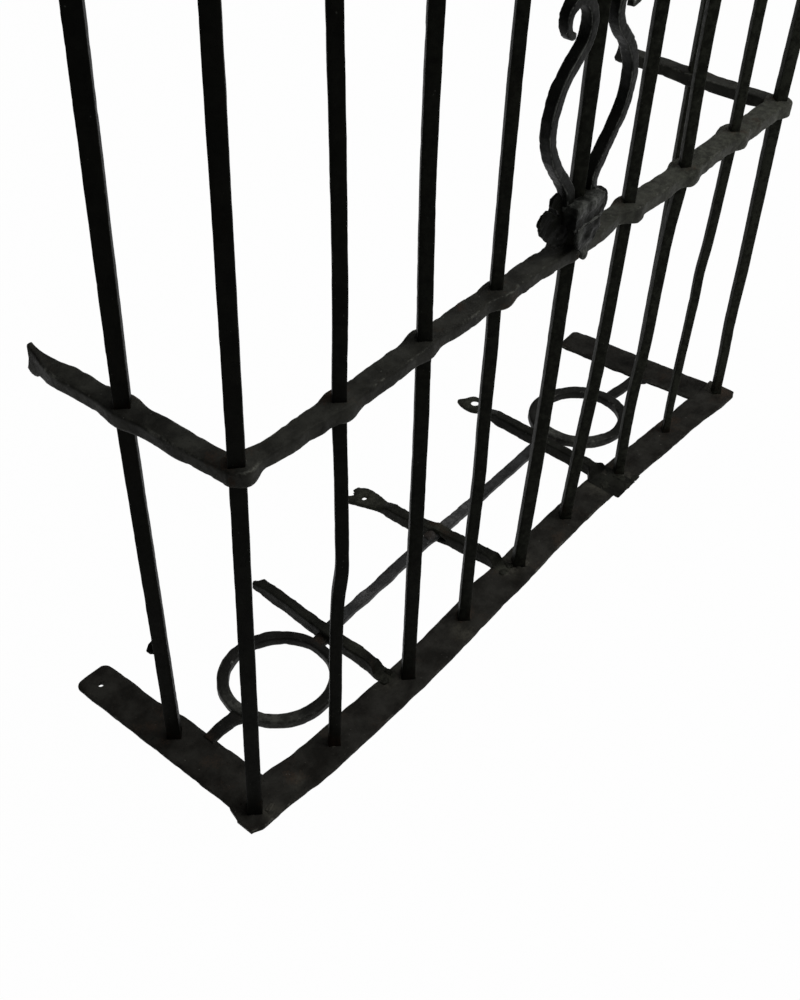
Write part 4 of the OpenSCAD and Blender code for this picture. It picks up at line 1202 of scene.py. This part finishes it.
# the side leaves take the darker leaf iron, which paints shade on them
for name, paint, settings in (
        ("ornament_collar", "ornament", {"pales": ornament["collarHighlights"], "beads": ornament["seamBeads"]}),
        ("leaf_front", "ornament", {"pales": ornament["frontLeafHighlights"], "warp": tuckedLeaf}),
        ("leaf_left", "leaf", {"warp": thinnedLeaf}), ("leaf_right", "leaf", {"warp": thinnedLeaf})):
    forgedCopy(name, ornament["voxel"], ornament["smooth"], paint, "ornament_iron", "ornament", **settings)
for name in ("scroll_left", "scroll_right"):
    forgedCopy(name, ornament["scrollVoxel"], ornament["scrollSmooth"], "ornament", "ornament_iron", "ring",
               warp=bentScroll)
makeLug(ornament)
print("ornament worked up")

crossbars = {
    "voxel": 1.2 * mm,
    "smooth": 5,
    "grow": 0.5 * mm,
    # where the tongues end, over what length they rise, the level they are beaten down to and the share of what
    # stood over it that goes
    "tongue": (29 * mm, 8 * mm, 5.05 * mm, 0.95),
    "halfWidth": 9 * mm,
    "leafThin": 0.65,
    "leafMiddle": 5.5 * mm,
    "holeReach": (4 * mm, 9 * mm),  # a hole's edge, and how far out what moves it fades
    # joints that rust gathers round, pale spots with their reach, weld beads with their size, the middle line
    # (x at the front and slope), then along the bar: distance, shift, widening, and the nail hole with how far
    # its rim is pushed outward and which way it is moved
    "crossbar_left": {
        "joints": [((-271, 30, 12), 14)],
        "pales": [((-268, 6, 9), 30), ((-262, 60, 18), 20)],
        "beads": [((-277, 6, 6), (6, 4, 2)), ((-263, 12, 6), (4, 5, 2))],
        "line": (-274.7, 0.024), "hole": None,
        "shape": [(15, 1.2, 0), (50, 0.2, 0.4), (65, -0.8, 0.6), (120, -1.6, 0.8), (150, -0.8, 0.2), (180, 0.2, 0),
                  (200, 0.4, 0.3), (240, 0, 0.5)],
    },
    "crossbar_middle": {
        "joints": [((-34, 126, 18), 18)],
        "pales": [((-27, 8, 9), 30), ((-44, 232, 8), 34), ((-36, 118, 22), 22)],
        "beads": [((-32, 8, 5.6), (6, 4, 1.6)), ((-17, 10, 5.6), (4, 6, 1.6)), ((-38.5, 257.5, 5.3), (7, 5.5, 2.4)),
                  ((-44.5, 254.5, 5.3), (6, 5, 2.2))],
        "line": (-31, -0.095), "hole": (-45.7, 239), "push": -0.9, "move": (-1.9, 0.3),
        "shape": [(15, 1.4, 1.2), (60, 1.2, 1.2), (100, 1.4, 1.0), (130, -0.8, 1.2), (150, -3.2, 2.4),
                  (185, -3.2, 2.8), (205, -0.5, 4), (220, 0.4, 3.2), (245, 0.2, 2)],
    },
    "crossbar_right": {
        "joints": [((222, 119, 10), 14)],
        "pales": [((226, 262, 8), 36)],
        "beads": [((206, 2, 5.4), (7, 8, 1.4)), ((234, -6, 5.4), (6, 8, 1.4)), ((227, -23, 4.4), (9, 4.5, 2)),
                  ((248, -21.5, 4.4), (10, 4.5, 2))],
        "line": (214.5, 0.018), "hole": (229.7, 254.8), "push": 2.4, "move": (0, 0),
        "shape": [(15, 0, 1), (45, -0.3, 1.2), (65, -1.8, 1.1), (150, -2, 1), (200, -2.4, 1), (222, 0.3, 2.2),
                  (245, -0.4, 2.4), (278, 0, 1.6)],
    },
}


def makeCrossbar(name, c, v):
    lineAt, slope = c["line"]
    tongueEnd, tongueFade, tongueTop, squash = v["tongue"]
    holeEdge, holeFade = v["holeReach"]

    def warp(point):
        shift, widen = tableAt(c["shape"], point.y)
        side = (point.x - lineAt * mm - slope * point.y) / v["halfWidth"]
        warped = point + Vector((shift + widen * min(max(side, -1), 1), 0, 0))
        flat = smoothStep((tongueEnd - point.y) / tongueFade)
        if warped.z > tongueTop:
            warped.z = tongueTop + (warped.z - tongueTop) * (1 - squash * flat)
        if c["hole"]:
            out = Vector((point.x - c["hole"][0] * mm, point.y - c["hole"][1] * mm, 0))
            near = 1 - smoothStep((out.length - holeEdge) / holeFade)
            warped += (out.normalized() * c["push"] + Vector((*c["move"], 0))) * mm * near
            warped.z += (v["leafMiddle"] - point.z) * (1 - v["leafThin"]) * near
        return warped

    forgedCopy(name, v["voxel"], v["smooth"], "crossbar", "ring_iron", "rail", c["joints"], c["pales"], c["beads"],
               v["grow"], warp)


for crossbarName in ("crossbar_left", "crossbar_middle", "crossbar_right"):
    makeCrossbar(crossbarName, crossbars[crossbarName], crossbars)
print("crossbars worked up")
